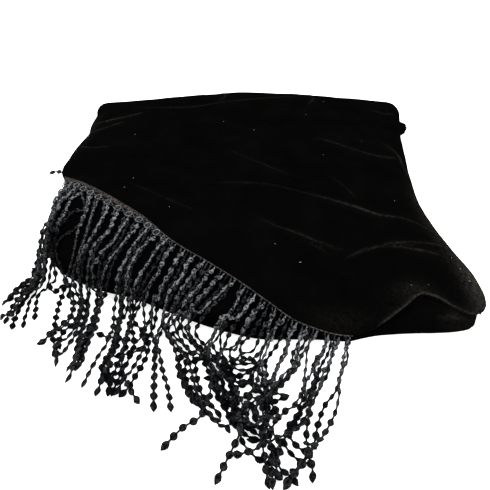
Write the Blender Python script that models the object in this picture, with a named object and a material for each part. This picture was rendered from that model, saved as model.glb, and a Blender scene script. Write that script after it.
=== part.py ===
"""Evening stole of black velvet, folded into a flat pile, with one fringed end lying on top.

Three pieces: the folded layers underneath, the end panel that lies on them, and the fringe on
that panel's hem. The tables are in millimetres. x runs to the right, y away from the viewer and
z up from the table top, and the meshes are in metres.
"""

import math
import random

import bmesh
import bpy
import numpy as np
from mathutils import Vector
from mathutils.bvhtree import BVHTree

MM = 0.001

# The footprint's middle in the tables' own x and y. It becomes the part's origin.
MIDDLE = (7.5, 459.1)

# Cloth
WALL = 2.2
GAP = 0.3
CROWN = (20.0, 530.0)
CROWN_HEIGHT = 54.0
STATION_SPACING = 17.5

# The pile's edge, anticlockwise from the front right corner. (x, y) is where the end panel begins to
# turn over the edge, and top is its height there. reach is how far it swells past that, and drop how
# far it turns down. (foot_x, foot_y) is the outermost point of the layers below, shoulder is where
# their edge begins to round over, and groove is the depth of the lines between them.
EDGE_COLUMNS = ("x", "y", "top", "reach", "drop", "foot_x", "foot_y", "shoulder", "groove")
EDGE_ROWS = (
    (206, 323, 28, 10, 11, 213, 309, 14, 2.0),
    (211, 352, 31, 10, 13, 221, 352, 16, 2.5),
    (204, 391, 33, 10, 14, 213, 391, 17, 2.5),
    (198, 420, 34, 10, 14, 206, 421, 18, 2.5),
    (194, 465, 35, 10, 14, 202, 466, 18, 2.5),
    (194, 507, 36, 10, 15, 202, 508, 19, 2.5),
    (199, 565, 37, 10, 15, 207, 567, 19, 2.5),
    (213, 655, 38, 10, 15, 222, 657, 20, 2.5),
    (223, 690, 38, 10, 15, 233, 686, 20, 2.0),
    (227, 712, 38, 10, 15, 249, 707, 16, 1.5),
    (231, 732, 37, 10, 15, 240, 735, 19, 2.0),
    (224, 746, 37, 10, 15, 232, 756, 19, 2.5),
    (200, 748, 40, 11, 17, 200, 759, 21, 2.5),
    (105, 744, 50, 13, 22, 105, 757, 26, 2.5),
    (0, 742, 55, 14, 25, 0, 756, 29, 2.5),
    (-115, 732, 51, 13, 22, -115, 745, 27, 2.5),
    (-190, 725, 45, 12, 19, -192, 737, 23, 2.5),
    (-209, 720, 43, 11, 18, -217, 728, 22, 2.0),
    (-211, 702, 43, 11, 18, -220, 702, 22, 1.5),
    (-204, 660, 47, 12, 21, -214, 660, 23, 1.5),
    (-202, 615, 51, 13, 24, -213, 615, 24, 1.0),
    (-204, 575, 54, 14, 27, -214, 575, 25, 1.0),
    (-203, 540, 56, 14, 26, -210, 540, 26, 0.5),
    (-201, 515, 57, 14, 21, -205, 508, 31, 0.0),
    (-195, 499, 57, 10, 6, -206, 478, 40, 0.0),
    (-182, 484, 58, 6.5, 0, -208, 450, 45, 0.0),
    (-159, 466, 58, 6, 0, -206, 407, 45, 0.0),
    (-129, 441, 58, 6, 0, -189, 375, 43, 0.0),
    (-101, 413, 57, 6, 0, -151, 354, 40, 0.0),
    (-66, 373, 53, 6, 0, -107, 341, 36, 0.0),
    (-27, 349, 48, 6, 0, -57, 325, 33, 0.0),
    (4, 325, 44, 6, 0, -14, 309, 30, 0.0),
    (25, 311, 38, 6, 0, 16, 301, 25, 0.0),
    (47, 299, 29, 6, 0, 44, 296, 17, 0.0),
    (68, 298, 19, 6, 0, 67, 293, 8, 0.0),
    (84, 298, 14, 6, 0, 83, 292, 5, 0.0),
    (96, 297, 13, 5, 1, 95, 292, 5, 0.0),
    (109, 299, 16, 5, 3, 107, 295, 6, 0.5),
    (126, 304, 25, 4, 3, 122, 299, 14, 1.0),
    (140, 310, 35, 4, 3, 139, 300, 24, 1.5),
    (157, 319, 42, 4, 3, 157, 301, 31, 1.5),
    (173, 319, 38, 4, 4, 175, 302, 27, 1.5),
    (191, 318, 32, 7, 7, 195, 305, 20, 2.0),
)

# Where the fringed hem begins and ends, counted in rows of that table.
HEM_FIRST_ROW, HEM_LAST_ROW = 24.9, 36.0

# How far out from the crown each ring of the top lies, as a share of the way to the edge.
TOP_RINGS = (0.25, 0.45, 0.6, 0.72, 0.82, 0.9, 0.96, 1.0)
TURN_RINGS = (0.25, 0.5, 0.75, 1.0)
SHOULDER_RINGS = (0.33, 0.67, 1.0)
ROUND_DEGREES = (35, 65, 90)

# The broad folds of the top: (x, y) of both ends, height (a trough is negative) and width.
FOLD_COLUMNS = ("x0", "y0", "x1", "y1", "height", "width")
FOLD_ROWS = (
    (-40, 488, 212, 400, 3.0, 28),
    (20, 418, 205, 366, 2.4, 24),
    (95, 600, 215, 555, 2.0, 22),
    (-208, 640, -150, 690, 2.0, 20),
    (-60, 560, 90, 515, -1.6, 30),
    (-150, 702, 20, 722, 1.8, 22),
    (157, 330, 120, 420, 1.5, 26),
)

# Fringe
STRIP_GAP = 0.6
STRIP_WIDTH = 4.5
STRIP_THICKNESS = 2.0
STRANDS = 64
STRAND_RADIUS = 0.9
STRAND_SIDES = 3
STRAND_PIECES = 13
STRAND_CLEARANCE = 0.3
FLOOR_CLEARANCE = 0.4
ROOT_CLEAR = 9.0
NECK = 5.0
STEEPEST = 1.3
LIFTS = 12

# Routes of the fringe on the pile and the table, from the left end of the hem to the right one: at is
# the share of the way along the hem, and each strand lies between the routes on either side of it.
ROUTE_COLUMNS = ("at", "x1", "y1", "x2", "y2", "x3", "y3", "tip_x", "tip_y")
LOWER_ROUTES = (
    (0.00, -224, 450, -229, 425, -214, 382, -184, 357),
    (0.12, -190, 414, -205, 386, -201, 354, -168, 336),
    (0.20, -176, 396, -187, 376, -181, 342, -166, 282),
    (0.30, -149, 388, -161, 362, -163, 322, -172, 284),
    (0.40, -118, 366, -134, 344, -138, 302, -128, 240),
    (0.50, -88, 350, -104, 328, -110, 286, -103, 232),
    (0.60, -60, 335, -82, 314, -90, 266, -82, 222),
    (0.70, -25, 311, -52, 290, -64, 254, -52, 216),
    (0.78, 4, 294, -24, 270, -42, 234, -62, 190),
    (0.86, 34, 277, 4, 251, -20, 226, -26, 194),
    (0.93, 59, 274, 30, 243, 0, 216, -8, 184),
    (1.00, 84, 276, 52, 240, 24, 204, 6, 178),
)
UPPER_ROUTES = (
    (0.00, -226, 458, -232, 430, -232, 392, -238, 332),
    (0.06, -210, 440, -225, 418, -226, 378, -230, 316),
    (0.11, -195, 424, -211, 402, -217, 366, -215, 306),
    (0.16, -181, 410, -196, 384, -203, 352, -194, 292),
    (0.21, -167, 402, -177, 372, -186, 340, -172, 270),
    (0.26, -153, 398, -164, 364, -170, 330, -154, 252),
    (0.31, -140, 388, -151, 358, -156, 318, -137, 243),
    (0.36, -124, 378, -139, 350, -141, 308, -123, 236),
    (0.42, -106, 364, -121, 342, -122, 294, -109, 235),
    (0.48, -86, 350, -97, 328, -98, 286, -88, 229),
    (0.54, -73, 342, -84, 318, -83, 274, -73, 221),
    (0.59, -60, 334, -73, 308, -70, 264, -57, 220),
    (0.65, -42, 324, -58, 294, -50, 248, -27, 208),
    (0.71, -17, 310, -34, 284, -32, 242, -10, 203),
    (0.77, 6, 297, -11, 270, -14, 234, 4, 196),
    (0.83, 29, 284, 14, 246, -2, 211, -21, 163),
    (0.88, 44, 276, 29, 240, 18, 199, 15, 159),
    (0.93, 57, 269, 42, 232, 28, 196, 38, 163),
    (0.97, 71, 263, 62, 223, 49, 194, 47, 165),
    (1.00, 81, 257, 73, 223, 56, 192, 27, 161),
)
STRAY = 1.4

# The square cells in which heights over the table are kept, from their first corner.
CELL = 1.2
MAP_CORNER = (-257.0, 130.0)
MAP_CELLS = (300, 350)


def table(columns, rows):
    """A table's columns by name."""
    return dict(zip(columns, np.array(rows, float).T))


def edge_stations():
    """Points evenly along the pile's edge, on a smooth closed line through the table's rows."""
    rows = np.array(EDGE_ROWS, float)
    ahead = np.roll(rows, -1, axis=0)
    stride = np.hypot(*(ahead - rows)[:, :2].T)[:, None]
    slope_ahead = (ahead - rows) / stride
    slope_behind = np.roll(slope_ahead, 1, axis=0)
    stride_behind = np.roll(stride, 1, axis=0)
    slope = (slope_ahead * stride_behind + slope_behind * stride) / (stride + stride_behind)
    found, places = [], []
    for i in range(len(rows)):
        j = (i + 1) % len(rows)
        steps = max(1, round(stride[i, 0] / STATION_SPACING))
        for k in range(steps):
            t = k / steps
            found.append(
                (1 + 2 * t) * (1 - t) ** 2 * rows[i]
                + t * (1 - t) ** 2 * stride[i] * slope[i]
                + t * t * (3 - 2 * t) * rows[j]
                + t * t * (t - 1) * stride[i] * slope[j]
            )
            places.append(i + t)
    return dict(zip(EDGE_COLUMNS, np.array(found).T)), np.array(places)


def outward(points):
    """Unit vectors, in plan, that point out of an anticlockwise closed line."""
    along = np.roll(points, -1, axis=0) - np.roll(points, 1, axis=0)
    side = np.stack([along[:, 1], -along[:, 0]], axis=1)
    return side / np.linalg.norm(side, axis=1)[:, None]


def folds_height(x, y):
    """The broad folds' height over the smooth top."""
    fold = table(FOLD_COLUMNS, FOLD_ROWS)
    total = np.zeros_like(x)
    for i in range(len(FOLD_ROWS)):
        dx, dy = fold["x1"][i] - fold["x0"][i], fold["y1"][i] - fold["y0"][i]
        length = math.hypot(dx, dy)
        along = ((x - fold["x0"][i]) * dx + (y - fold["y0"][i]) * dy) / length**2
        across = ((x - fold["x0"][i]) * dy - (y - fold["y0"][i]) * dx) / length
        middle = np.clip(1 - (2 * along - 1) ** 2, 0, 1)
        total += fold["height"][i] * middle * np.exp(-((across / fold["width"][i] * 2) ** 2))
    return total


def panel_rings(edge):
    """Rings of the end panel's outer side, from near the crown to where it ends."""
    rim = np.stack([edge["x"], edge["y"]], axis=1)
    out = outward(rim)
    spoke = rim - CROWN
    rings = []
    for share in TOP_RINGS:
        plan = CROWN + spoke * share
        z = CROWN_HEIGHT + (edge["top"] - CROWN_HEIGHT) * share**4 + folds_height(*plan.T)
        rings.append(np.column_stack([plan, z]))
    fall = 4 * (edge["top"] - CROWN_HEIGHT) / np.linalg.norm(spoke, axis=1)
    most = np.radians(90 + 30 * np.clip(edge["drop"] / 10, 0, 1))
    depth = edge["drop"] / (1 - np.cos(most))
    for share in TURN_RINGS:
        past = edge["reach"] * np.sin(share * most)
        z = rings[len(TOP_RINGS) - 1][:, 2] + fall * past - depth * (1 - np.cos(share * most))
        rings.append(np.column_stack([rim + out * past[:, None], z]))
    return np.array(rings)


def normals(rings):
    """Unit vectors out of the cloth at each point of its rings."""
    crown = np.broadcast_to([*CROWN, CROWN_HEIGHT], rings[:1].shape)
    padded = np.concatenate([crown, rings, rings[-1:]])
    outwards = padded[2:] - padded[:-2]
    around = np.roll(rings, -1, axis=1) - np.roll(rings, 1, axis=1)
    normal = np.cross(outwards, around)
    return normal / np.linalg.norm(normal, axis=2)[:, :, None]


def lower_rings(edge, start):
    """Rings of the layers below, from where the end panel ends down to the table."""
    foot = np.stack([edge["foot_x"], edge["foot_y"]], axis=1)
    out = outward(foot)
    groove = edge["groove"][:, None]
    line = start[:, :2] - out * groove
    line_z = start[:, 2] - 0.4 - 0.3 * edge["groove"]
    roll = 0.55 * edge["shoulder"]
    length = np.maximum(np.linalg.norm(foot - line, axis=1), 0.5)
    share = np.maximum(0.2, 1 - roll / length)[:, None]
    shoulder = line + (foot - line) * share
    shoulder_z = np.minimum(edge["shoulder"], line_z - 0.6)
    rings = [np.column_stack([line, line_z])]
    for t in SHOULDER_RINGS:
        rings.append(np.column_stack([line + (shoulder - line) * t, line_z + (shoulder_z - line_z) * t]))
    for degrees in ROUND_DEGREES:
        turn = math.radians(degrees)
        inset = 0.8 * groove * (degrees == ROUND_DEGREES[-1])
        plan = shoulder + (foot - shoulder) * math.sin(turn) - out * inset
        rings.append(np.column_stack([plan, shoulder_z * (0.5 + 0.5 * math.cos(turn))]))
    rings.append(np.column_stack([foot - out * 0.1 * roll[:, None], 0.2 * shoulder_z]))
    rings.append(np.column_stack([foot - out * 0.45 * roll[:, None], 0 * shoulder_z]))
    return np.array(rings)


def closed_skin(first_pole, rings, last_pole):
    """Points and triangles of a closed body: rings of equal length between two end points."""
    count, size = rings.shape[:2]
    points = [first_pole, *rings.reshape(-1, 3), last_pole]
    faces = []
    for i in range(size):
        j = (i + 1) % size
        faces.append((0, 1 + i, 1 + j))
        for k in range(count - 1):
            a, b = 1 + k * size, 1 + (k + 1) * size
            faces.append((a + i, b + i, b + j))
            faces.append((a + i, b + j, a + j))
        last = 1 + (count - 1) * size
        faces.append((last + j, last + i, len(points) - 1))
    return np.array(points), faces


def sheet_skin(outer_pole, outer, inner_pole, inner):
    """Points and triangles of a cloth wall, whose two sides are split into triangles alike."""
    count, size = outer.shape[:2]
    points = [outer_pole, *outer.reshape(-1, 3), inner_pole, *inner.reshape(-1, 3)]
    faces = []
    for shift, turned in ((0, False), (1 + count * size, True)):
        side = []
        for i in range(size):
            j = (i + 1) % size
            side.append((shift, shift + 1 + i, shift + 1 + j))
            for k in range(count - 1):
                a, b = shift + 1 + k * size, shift + 1 + (k + 1) * size
                side.append((a + i, b + i, b + j))
                side.append((a + i, b + j, a + j))
        faces += [face[::-1] for face in side] if turned else side
    top, under = 1 + (count - 1) * size, 2 + (2 * count - 1) * size
    for i in range(size):
        j = (i + 1) % size
        faces.append((top + i, under + i, under + j))
        faces.append((top + i, under + j, top + j))
    return np.array(points), faces


def make_object(name, points, faces):
    """A mesh object in metres about the footprint's middle."""
    placed = (np.array(points, float) - (*MIDDLE, 0)) * MM
    mesh = bpy.data.meshes.new(name)
    mesh.from_pydata([tuple(p) for p in placed], [], [tuple(f) for f in faces])
    mesh.validate()
    thing = bpy.data.objects.new(name, mesh)
    bpy.context.scene.collection.objects.link(thing)
    return thing


def finish(thing, name, colour, roughness):
    """Gives a piece its own material, and smooth shading with sharp edges kept."""
    material = bpy.data.materials.new(name)
    material.use_nodes = True
    shader = material.node_tree.nodes["Principled BSDF"]
    shader.inputs["Base Color"].default_value = (*colour, 1)
    shader.inputs["Roughness"].default_value = roughness
    shader.inputs["Metallic"].default_value = 0.0
    material.diffuse_color = (*colour, 1)
    thing.data.materials.append(material)
    thing.data.shade_smooth()
    thing.data.set_sharp_from_angle(angle=math.radians(45))


def make_cloth():
    """The folded layers and the end panel that lies on them, and the line of the panel's edge."""
    edge, places = edge_stations()
    outer = panel_rings(edge)
    normal = normals(outer)
    crown = np.array([*CROWN, CROWN_HEIGHT])
    up = np.array([0, 0, 1.0])

    inner = outer - WALL * normal
    skin = sheet_skin(crown, outer, crown - WALL * up, inner)
    panel = make_object("top_panel", *skin)
    finish(panel, "black_velvet", (0.006, 0.006, 0.005), 0.9)

    bed = outer - (WALL + GAP) * normal
    rings = np.concatenate([bed, lower_rings(edge, bed[-1])])
    skin = closed_skin(crown - (WALL + GAP) * up, rings, np.array([*CROWN, 0]))
    layers = make_object("folded_layers", *skin)
    finish(layers, "black_velvet_layers", (0.005, 0.005, 0.005), 0.9)

    middle = (outer[-1] + inner[-1]) / 2
    ahead = outer[-1] - outer[-2]
    ahead -= (ahead * normal[-1]).sum(axis=1)[:, None] * normal[-1]
    ahead /= np.linalg.norm(ahead, axis=1)[:, None]
    on_hem = (places >= HEM_FIRST_ROW) & (places <= HEM_LAST_ROW)
    hem = {"middle": middle[on_hem], "ahead": ahead[on_hem], "normal": normal[-1][on_hem]}
    return panel, layers, hem


def strip_line(hem):
    """The middle of the strip that holds the strands, beside the hem."""
    return hem["middle"] + hem["ahead"] * (STRIP_GAP + STRIP_WIDTH / 2)


def make_strip(hem):
    """The narrow strip that the strands hang from."""
    line = strip_line(hem)
    wide, thick = hem["ahead"] * STRIP_WIDTH / 2, hem["normal"] * STRIP_THICKNESS / 2
    corners = np.stack([line - wide + thick, line + wide + thick, line + wide - thick, line - wide - thick])
    rings = corners.transpose(1, 0, 2)
    points = rings.reshape(-1, 3)
    faces = [(0, 1, 2, 3)]
    for k in range(len(line) - 1):
        for i in range(4):
            j = (i + 1) % 4
            faces.append((4 * k + j, 4 * k + i, 4 * k + 4 + i, 4 * k + 4 + j))
    last = 4 * (len(line) - 1)
    faces.append((last + 3, last + 2, last + 1, last))
    return make_object("end_fringe", points, faces)


def along(points, shares, values=None):
    """Points, or other values given for them, at those shares of the way along a line of straight runs."""
    steps = np.linalg.norm(np.diff(points, axis=0), axis=1)
    reached = np.concatenate([[0], np.cumsum(steps)]) / steps.sum()
    values = points if values is None else values
    return np.stack([np.interp(shares, reached, column) for column in values.T], axis=1)


def smooth_line(points, count):
    """A smooth line through points, as count + 1 points evenly along it."""
    ends = np.concatenate([2 * points[:1] - points[1:2], points, 2 * points[-1:] - points[-2:-1]])
    fine = []
    for i in range(1, len(points)):
        a, b, c, d = ends[i - 1 : i + 3]
        for t in np.linspace(0, 1, 12, endpoint=False):
            fine.append(
                0.5 * (2 * b + (c - a) * t + (2 * a - 5 * b + 4 * c - d) * t * t + (3 * b - a - 3 * c + d) * t**3)
            )
    fine.append(points[-1])
    return along(np.array(fine), np.linspace(0, 1, count + 1))


def strand_plans(hem):
    """Each strand's root and its line in plan, the lower ones first."""
    chance = random.Random(5)
    line = strip_line(hem)
    plans = []
    for routes, first in ((LOWER_ROUTES, 0), (UPPER_ROUTES, 1)):
        guide = np.array(routes, float)
        for k in range(first, STRANDS, 2):
            at = (k + 0.5) / STRANDS
            root = along(line, [at])[0]
            ahead = along(line, [at], hem["ahead"])[0]
            points = np.array([np.interp(at, guide[:, 0], column) for column in guide[:, 1:].T]).reshape(-1, 2)
            for step, point in enumerate(points):
                point += [chance.uniform(-1, 1) * STRAY * step / 2 for _ in range(2)]
            away = (ahead + along(line, [at], hem["normal"])[0])[:2]
            neck = root[:2] + away / np.linalg.norm(away) * NECK
            plans.append((root, smooth_line(np.vstack([root[:2], neck, points]), STRAND_PIECES)))
    return plans


def height_map(thing):
    """The height of a piece over the table, in square cells, each as high as the highest beside it."""
    tree = BVHTree.FromPolygons([v.co for v in thing.data.vertices], [p.vertices for p in thing.data.polygons])
    heights = np.zeros(MAP_CELLS)
    for i in range(MAP_CELLS[0]):
        for j in range(MAP_CELLS[1]):
            x, y = (np.array(MAP_CORNER) + (np.array([i, j]) + 0.5) * CELL - MIDDLE) * MM
            hit = tree.ray_cast(Vector((x, y, 1)), Vector((0, 0, -1)))[0]
            if hit:
                heights[i, j] = hit.z / MM
    spread = heights.copy()
    for dx in (-1, 0, 1):
        for dy in (-1, 0, 1):
            spread = np.maximum(spread, np.roll(heights, (dx, dy), axis=(0, 1)))
    return spread


def lay(root, plan, heights, bed):
    """A strand's points, laid over all that the height map holds, which then holds the strand too.

    Close to its root the strand has only the layers below, the bed, to clear.
    """
    low = np.array(MAP_CORNER)
    spare = STRAND_RADIUS * 1.45 + STRAND_CLEARANCE
    samples = 10
    shares = np.linspace(0, 1, samples + 1)
    fine = np.concatenate([plan[k] + (plan[k + 1] - plan[k]) * shares[:-1, None] for k in range(len(plan) - 1)])
    fine = np.vstack([fine, plan[-1:]])
    cell = ((fine - low) / CELL).astype(int)
    close = np.hypot(*(fine - root[:2]).T) < ROOT_CLEAR
    under = np.where(close, bed[cell[:, 0], cell[:, 1]], heights[cell[:, 0], cell[:, 1]])
    need = np.maximum(under + spare, STRAND_RADIUS + FLOOR_CLEARANCE)
    need[0] = root[2]
    step = np.hypot(*np.diff(fine, axis=0).T)
    for order in (range(1, len(fine)), range(len(fine) - 2, -1, -1)):
        for k in order:
            beside = k - 1 if order.start == 1 else k + 1
            need[k] = max(need[k], need[beside] - STEEPEST * step[min(k, beside)])
    need[np.hypot(*(fine - root[:2]).T) < STRIP_WIDTH] = 0
    z = need[::samples].copy()
    z[0] = root[2]
    for _ in range(LIFTS):
        short = need - np.interp(np.arange(len(fine)) / samples, np.arange(len(z)), z)
        for k in range(len(z) - 1):
            lift = max(short[k * samples : (k + 1) * samples + 1].max(), 0)
            if k > 0:
                z[k] += lift
            z[k + 1] += lift
    fine_z = np.interp(np.arange(len(fine)) / samples, np.arange(len(z)), z)
    reach = math.ceil((2 * STRAND_RADIUS + STRAND_CLEARANCE) / CELL)
    for point, height in zip(fine, fine_z):
        ci, cj = ((point - low) / CELL).astype(int)
        for i in range(ci - reach, ci + reach + 1):
            for j in range(cj - reach, cj + reach + 1):
                middle = low + (np.array([i, j]) + 0.5) * CELL
                if np.hypot(*(middle - point)) < 2 * STRAND_RADIUS + STRAND_CLEARANCE + 0.5 * CELL:
                    heights[i, j] = max(heights[i, j], height + STRAND_RADIUS)
    return np.column_stack([plan, z])


def strand_skin(line):
    """Points and faces of one strand: a slim prism that narrows to its tip."""
    points, faces = [], []
    sides = STRAND_SIDES
    for k, place in enumerate(line):
        heading = line[min(k + 1, len(line) - 1)] - line[max(k - 1, 0)]
        heading /= np.linalg.norm(heading)
        across = np.cross(heading, [0, 0, 1.0])
        across /= np.linalg.norm(across)
        above = np.cross(across, heading)
        radius = STRAND_RADIUS * (0.5 if k == len(line) - 1 else 1)
        for i in range(sides):
            turn = 2 * math.pi * i / sides + math.pi / 2
            points.append(place + radius * (math.cos(turn) * across + math.sin(turn) * above))
    faces.append(tuple(range(sides)))
    for k in range(len(line) - 1):
        for i in range(sides):
            j = (i + 1) % sides
            faces.append((sides * k + j, sides * k + i, sides * k + sides + i, sides * k + sides + j))
    last = sides * (len(line) - 1)
    faces.append(tuple(last + i for i in reversed(range(sides))))
    return points, faces


def make_fringe(panel, layers, hem):
    """The strip with its strands, each laid over those laid before it."""
    strip = make_strip(hem)
    bed = height_map(layers)
    heights = np.maximum(bed, height_map(panel))
    points, faces = [], []
    for root, plan in strand_plans(hem):
        own_points, own_faces = strand_skin(lay(root, plan, heights, bed))
        faces += [tuple(len(points) + i for i in face) for face in own_faces]
        points += own_points
    strands = make_object("strands", points, faces)
    for thing in (strip, strands):
        mesh = bmesh.new()
        mesh.from_mesh(thing.data)
        bmesh.ops.triangulate(mesh, faces=mesh.faces)
        bmesh.ops.recalc_face_normals(mesh, faces=mesh.faces)
        mesh.to_mesh(thing.data)
        mesh.free()
    strands.hide_render = True
    strands.display_type = "WIRE"
    join = strip.modifiers.new("strands", "BOOLEAN")
    join.operation = "UNION"
    join.solver = "EXACT"
    join.object = strands
    finish(strip, "rayon_fringe", (0.02, 0.022, 0.026), 0.45)


def main():
    for thing in list(bpy.data.objects):
        bpy.data.objects.remove(thing)
    make_fringe(*make_cloth())


main()
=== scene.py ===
"""Black velvet evening stole folded into a pile, with a lozenge fringe spread from its hem.

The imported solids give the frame. This script dresses them: the velvet of the end panel and of the
layers below, the tape and gimp along the hem, the fringe of woven lozenges, lint, and the stage. The
tables are in millimetres on the table top, as the solids' own are: x to the right, y away from the
viewer, z up.
"""

import math
import random

import bpy
import numpy as np
from bpy.props import FloatProperty, FloatVectorProperty, IntProperty, PointerProperty
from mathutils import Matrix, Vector
from mathutils.bvhtree import BVHTree


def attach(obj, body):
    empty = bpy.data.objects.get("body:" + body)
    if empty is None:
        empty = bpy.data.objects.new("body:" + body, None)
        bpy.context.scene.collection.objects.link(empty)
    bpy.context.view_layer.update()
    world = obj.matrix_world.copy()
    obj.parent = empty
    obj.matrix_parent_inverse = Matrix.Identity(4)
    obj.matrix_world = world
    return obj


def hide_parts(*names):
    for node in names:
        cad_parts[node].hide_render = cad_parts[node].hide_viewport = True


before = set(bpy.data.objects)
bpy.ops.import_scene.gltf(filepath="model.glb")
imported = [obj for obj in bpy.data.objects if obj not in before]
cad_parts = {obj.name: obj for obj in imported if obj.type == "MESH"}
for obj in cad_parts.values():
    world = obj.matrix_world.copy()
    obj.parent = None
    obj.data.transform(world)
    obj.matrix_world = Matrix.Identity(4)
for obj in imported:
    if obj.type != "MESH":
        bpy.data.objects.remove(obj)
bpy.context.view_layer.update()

bl_info = {
    "name": "Folded velvet stole",
    "version": (1, 0, 0),
    "blender": (4, 5, 0),
    "location": "3D View > Sidebar > Stole",
    "description": "Dresses a folded velvet stole with its lozenge fringe",
    "category": "Object",
}

MM = 0.001

# The footprint's middle on the table top, which is the origin of the frame.
MIDDLE = (7.5, 459.1)

# The pile, close to the solids and moved a few millimetres from them to the photograph's outline,
# anticlockwise from the front right corner. (x, y) is where the end panel begins to turn over the
# edge, top its height there, reach how far it swells past that and drop how far it turns down.
# (foot_x, foot_y) is the outermost point of the layers below, shoulder where their edge begins to
# round over, and groove the depth of the lines between them.
EDGE_COLUMNS = ("x", "y", "top", "reach", "drop", "foot_x", "foot_y", "shoulder", "groove")
EDGE_ROWS = (
    (211, 321, 28, 10, 11, 212, 309, 18, 2.0),
    (214, 350, 31, 10, 13, 223, 350, 18, 2.5),
    (204, 391, 33, 10, 14, 213, 391, 17, 2.5),
    (198, 420, 34, 10, 14, 206, 421, 18, 2.5),
    (194, 465, 35, 10, 14, 202, 466, 18, 2.5),
    (195, 507, 36, 10, 15, 203, 508, 19, 2.5),
    (202, 565, 37, 10, 15, 210, 567, 19, 2.5),
    (215, 655, 38, 10, 15, 224, 657, 20, 2.5),
    (223, 690, 38, 10, 15, 234, 693, 20, 2.0),
    (227, 712, 38, 10, 15, 254, 717, 16, 1.5),
    (232, 732, 37, 10, 15, 241, 733, 19, 2.0),
    (231, 746, 37, 10, 15, 236, 757, 19, 2.5),
    (200, 748, 40, 11, 17, 200, 759, 21, 2.5),
    (105, 744, 50, 13, 22, 105, 757, 26, 2.5),
    (0, 742, 55, 14, 25, 0, 756, 29, 2.5),
    (-115, 732, 51, 13, 22, -115, 745, 27, 2.5),
    (-196, 729, 45, 12, 19, -198, 741, 23, 2.5),
    (-217, 729, 43, 11, 18, -224, 737, 22, 2.0),
    (-214, 702, 43, 11, 18, -223, 702, 22, 1.5),
    (-210, 661, 47, 12, 21, -219, 661, 23, 1.5),
    (-204, 615, 51, 13, 24, -214, 615, 24, 1.0),
    (-206, 575, 54, 14, 27, -215, 575, 25, 1.0),
    (-206, 540, 56, 14, 26, -213, 540, 26, 0.5),
    (-206, 516, 57, 14, 21, -213, 510, 31, 0.0),
    (-202, 501, 57, 10, 6, -217, 482, 40, 0.0),
    (-187, 486, 58, 6.5, 0, -218, 452, 45, 0.0),
    (-159, 466, 58, 6, 0, -211, 408, 45, 0.0),
    (-129, 441, 58, 6, 0, -189, 375, 43, 0.0),
    (-99, 415, 57, 6, 0, -151, 354, 40, 0.0),
    (-64, 376, 53, 6, 0, -107, 339, 36, 0.0),
    (-27, 350, 48, 6, 0, -58, 315, 33, 0.0),
    (4, 326, 44, 6, 0, -16, 298, 30, 0.0),
    (25, 311, 38, 6, 0, 14, 291, 25, 0.0),
    (47, 299, 29, 6, 0, 44, 292, 17, 0.0),
    (68, 298, 19, 6, 0, 67, 293, 8, 0.0),
    (84, 298, 14, 6, 0, 83, 292, 5, 0.0),
    (96, 297, 13, 5, 1, 95, 292, 5, 0.0),
    (109, 299, 16, 5, 3, 107, 295, 6, 0.5),
    (126, 304, 25, 4, 3, 122, 297, 14, 1.0),
    (140, 310, 35, 4, 3, 139, 297, 24, 1.5),
    (157, 319, 41, 4, 3, 157, 297, 30, 1.5),
    (173, 319, 37, 4, 4, 175, 298, 26, 1.5),
    (191, 318, 32, 7, 7, 197, 301, 21, 2.0),
)
# The middle of the top, where all its spokes meet.
CROWN = (20.0, 530.0)
CROWN_HEIGHT = 54.0

# Where the fringed hem begins and ends, counted in rows of that table.
HEM_FIRST_ROW, HEM_LAST_ROW = 24.9, 36.0

# The broad folds of the top: (x, y) of both ends, height (a trough is negative) and width.
FOLD_ROWS = (
    (-40, 488, 212, 400, 3.0, 28),
    (20, 418, 205, 366, 2.4, 24),
    (95, 600, 215, 555, 2.0, 22),
    (-208, 640, -150, 690, 2.0, 20),
    (-60, 560, 90, 515, -1.6, 30),
    (-150, 702, 20, 722, 1.8, 22),
    (157, 330, 120, 420, 1.5, 26),
)

# The creases that show as fine pale lines, partly crushed pile and partly painted sheen: height of the
# ridge, its half width, how far its line is painted pale, and the points (x, y) it runs through.
CREASE_ROWS = (
    (1.3, 4.5, 0.16, (-40, 478, 24, 471, 53, 458, 70, 450)),
    (1.8, 4.5, 0.52, (53, 458, 84, 443, 114, 428, 139, 416, 171, 415, 204, 404)),
    (1.2, 6.0, 0.14, (-24, 561, 10, 532, 33, 510, 62, 488)),
    (1.6, 4.5, 0.34, (94, 590, 130, 567, 166, 553, 206, 562)),
    (1.4, 4.0, 0.45, (180, 598, 196, 574, 199, 542, 201, 500)),
    (1.3, 5.0, 0.34, (22, 401, 48, 391, 67, 381, 96, 366)),
    (1.4, 4.5, 0.40, (94, 357, 119, 365, 152, 368, 200, 364)),
    (1.1, 4.0, 0.32, (118, 364, 150, 374, 182, 380, 210, 386)),
    (1.6, 4.0, 0.62, (-216, 640, -197, 647, -178, 658, -146, 677)),
    (1.2, 4.0, 0.45, (-208, 611, -190, 628, -168, 650)),
    (1.2, 4.5, 0.28, (-165, 699, -120, 693, -76, 692, -42, 703, 3, 715, 80, 736)),
    (0.8, 5.0, 0.12, (-132, 476, -100, 454, -76, 437, -48, 420)),
    (0.8, 5.0, 0.12, (100, 492, 113, 468, 121, 444)),
    (1.0, 5.0, 0.14, (12, 413, 35, 395, 60, 379, 84, 362)),
    (0.9, 4.5, 0.20, (214, 440, 196, 470, 199, 493)),
    (0.0, 4.5, 0.55, (206, 555, 201, 507, 200, 465, 204, 420, 211, 391, 219, 360)),
    (1.2, 5.0, 0.30, (-40, 752, -30, 730, -38, 706)),
    (1.2, 5.0, 0.30, (96, 754, 104, 728, 92, 700)),
    (1.2, 5.0, 0.30, (-216, 566, -196, 560, -172, 566)),
    (1.0, 5.0, 0.25, (226, 700, 204, 690, 180, 694)),
)
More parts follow.
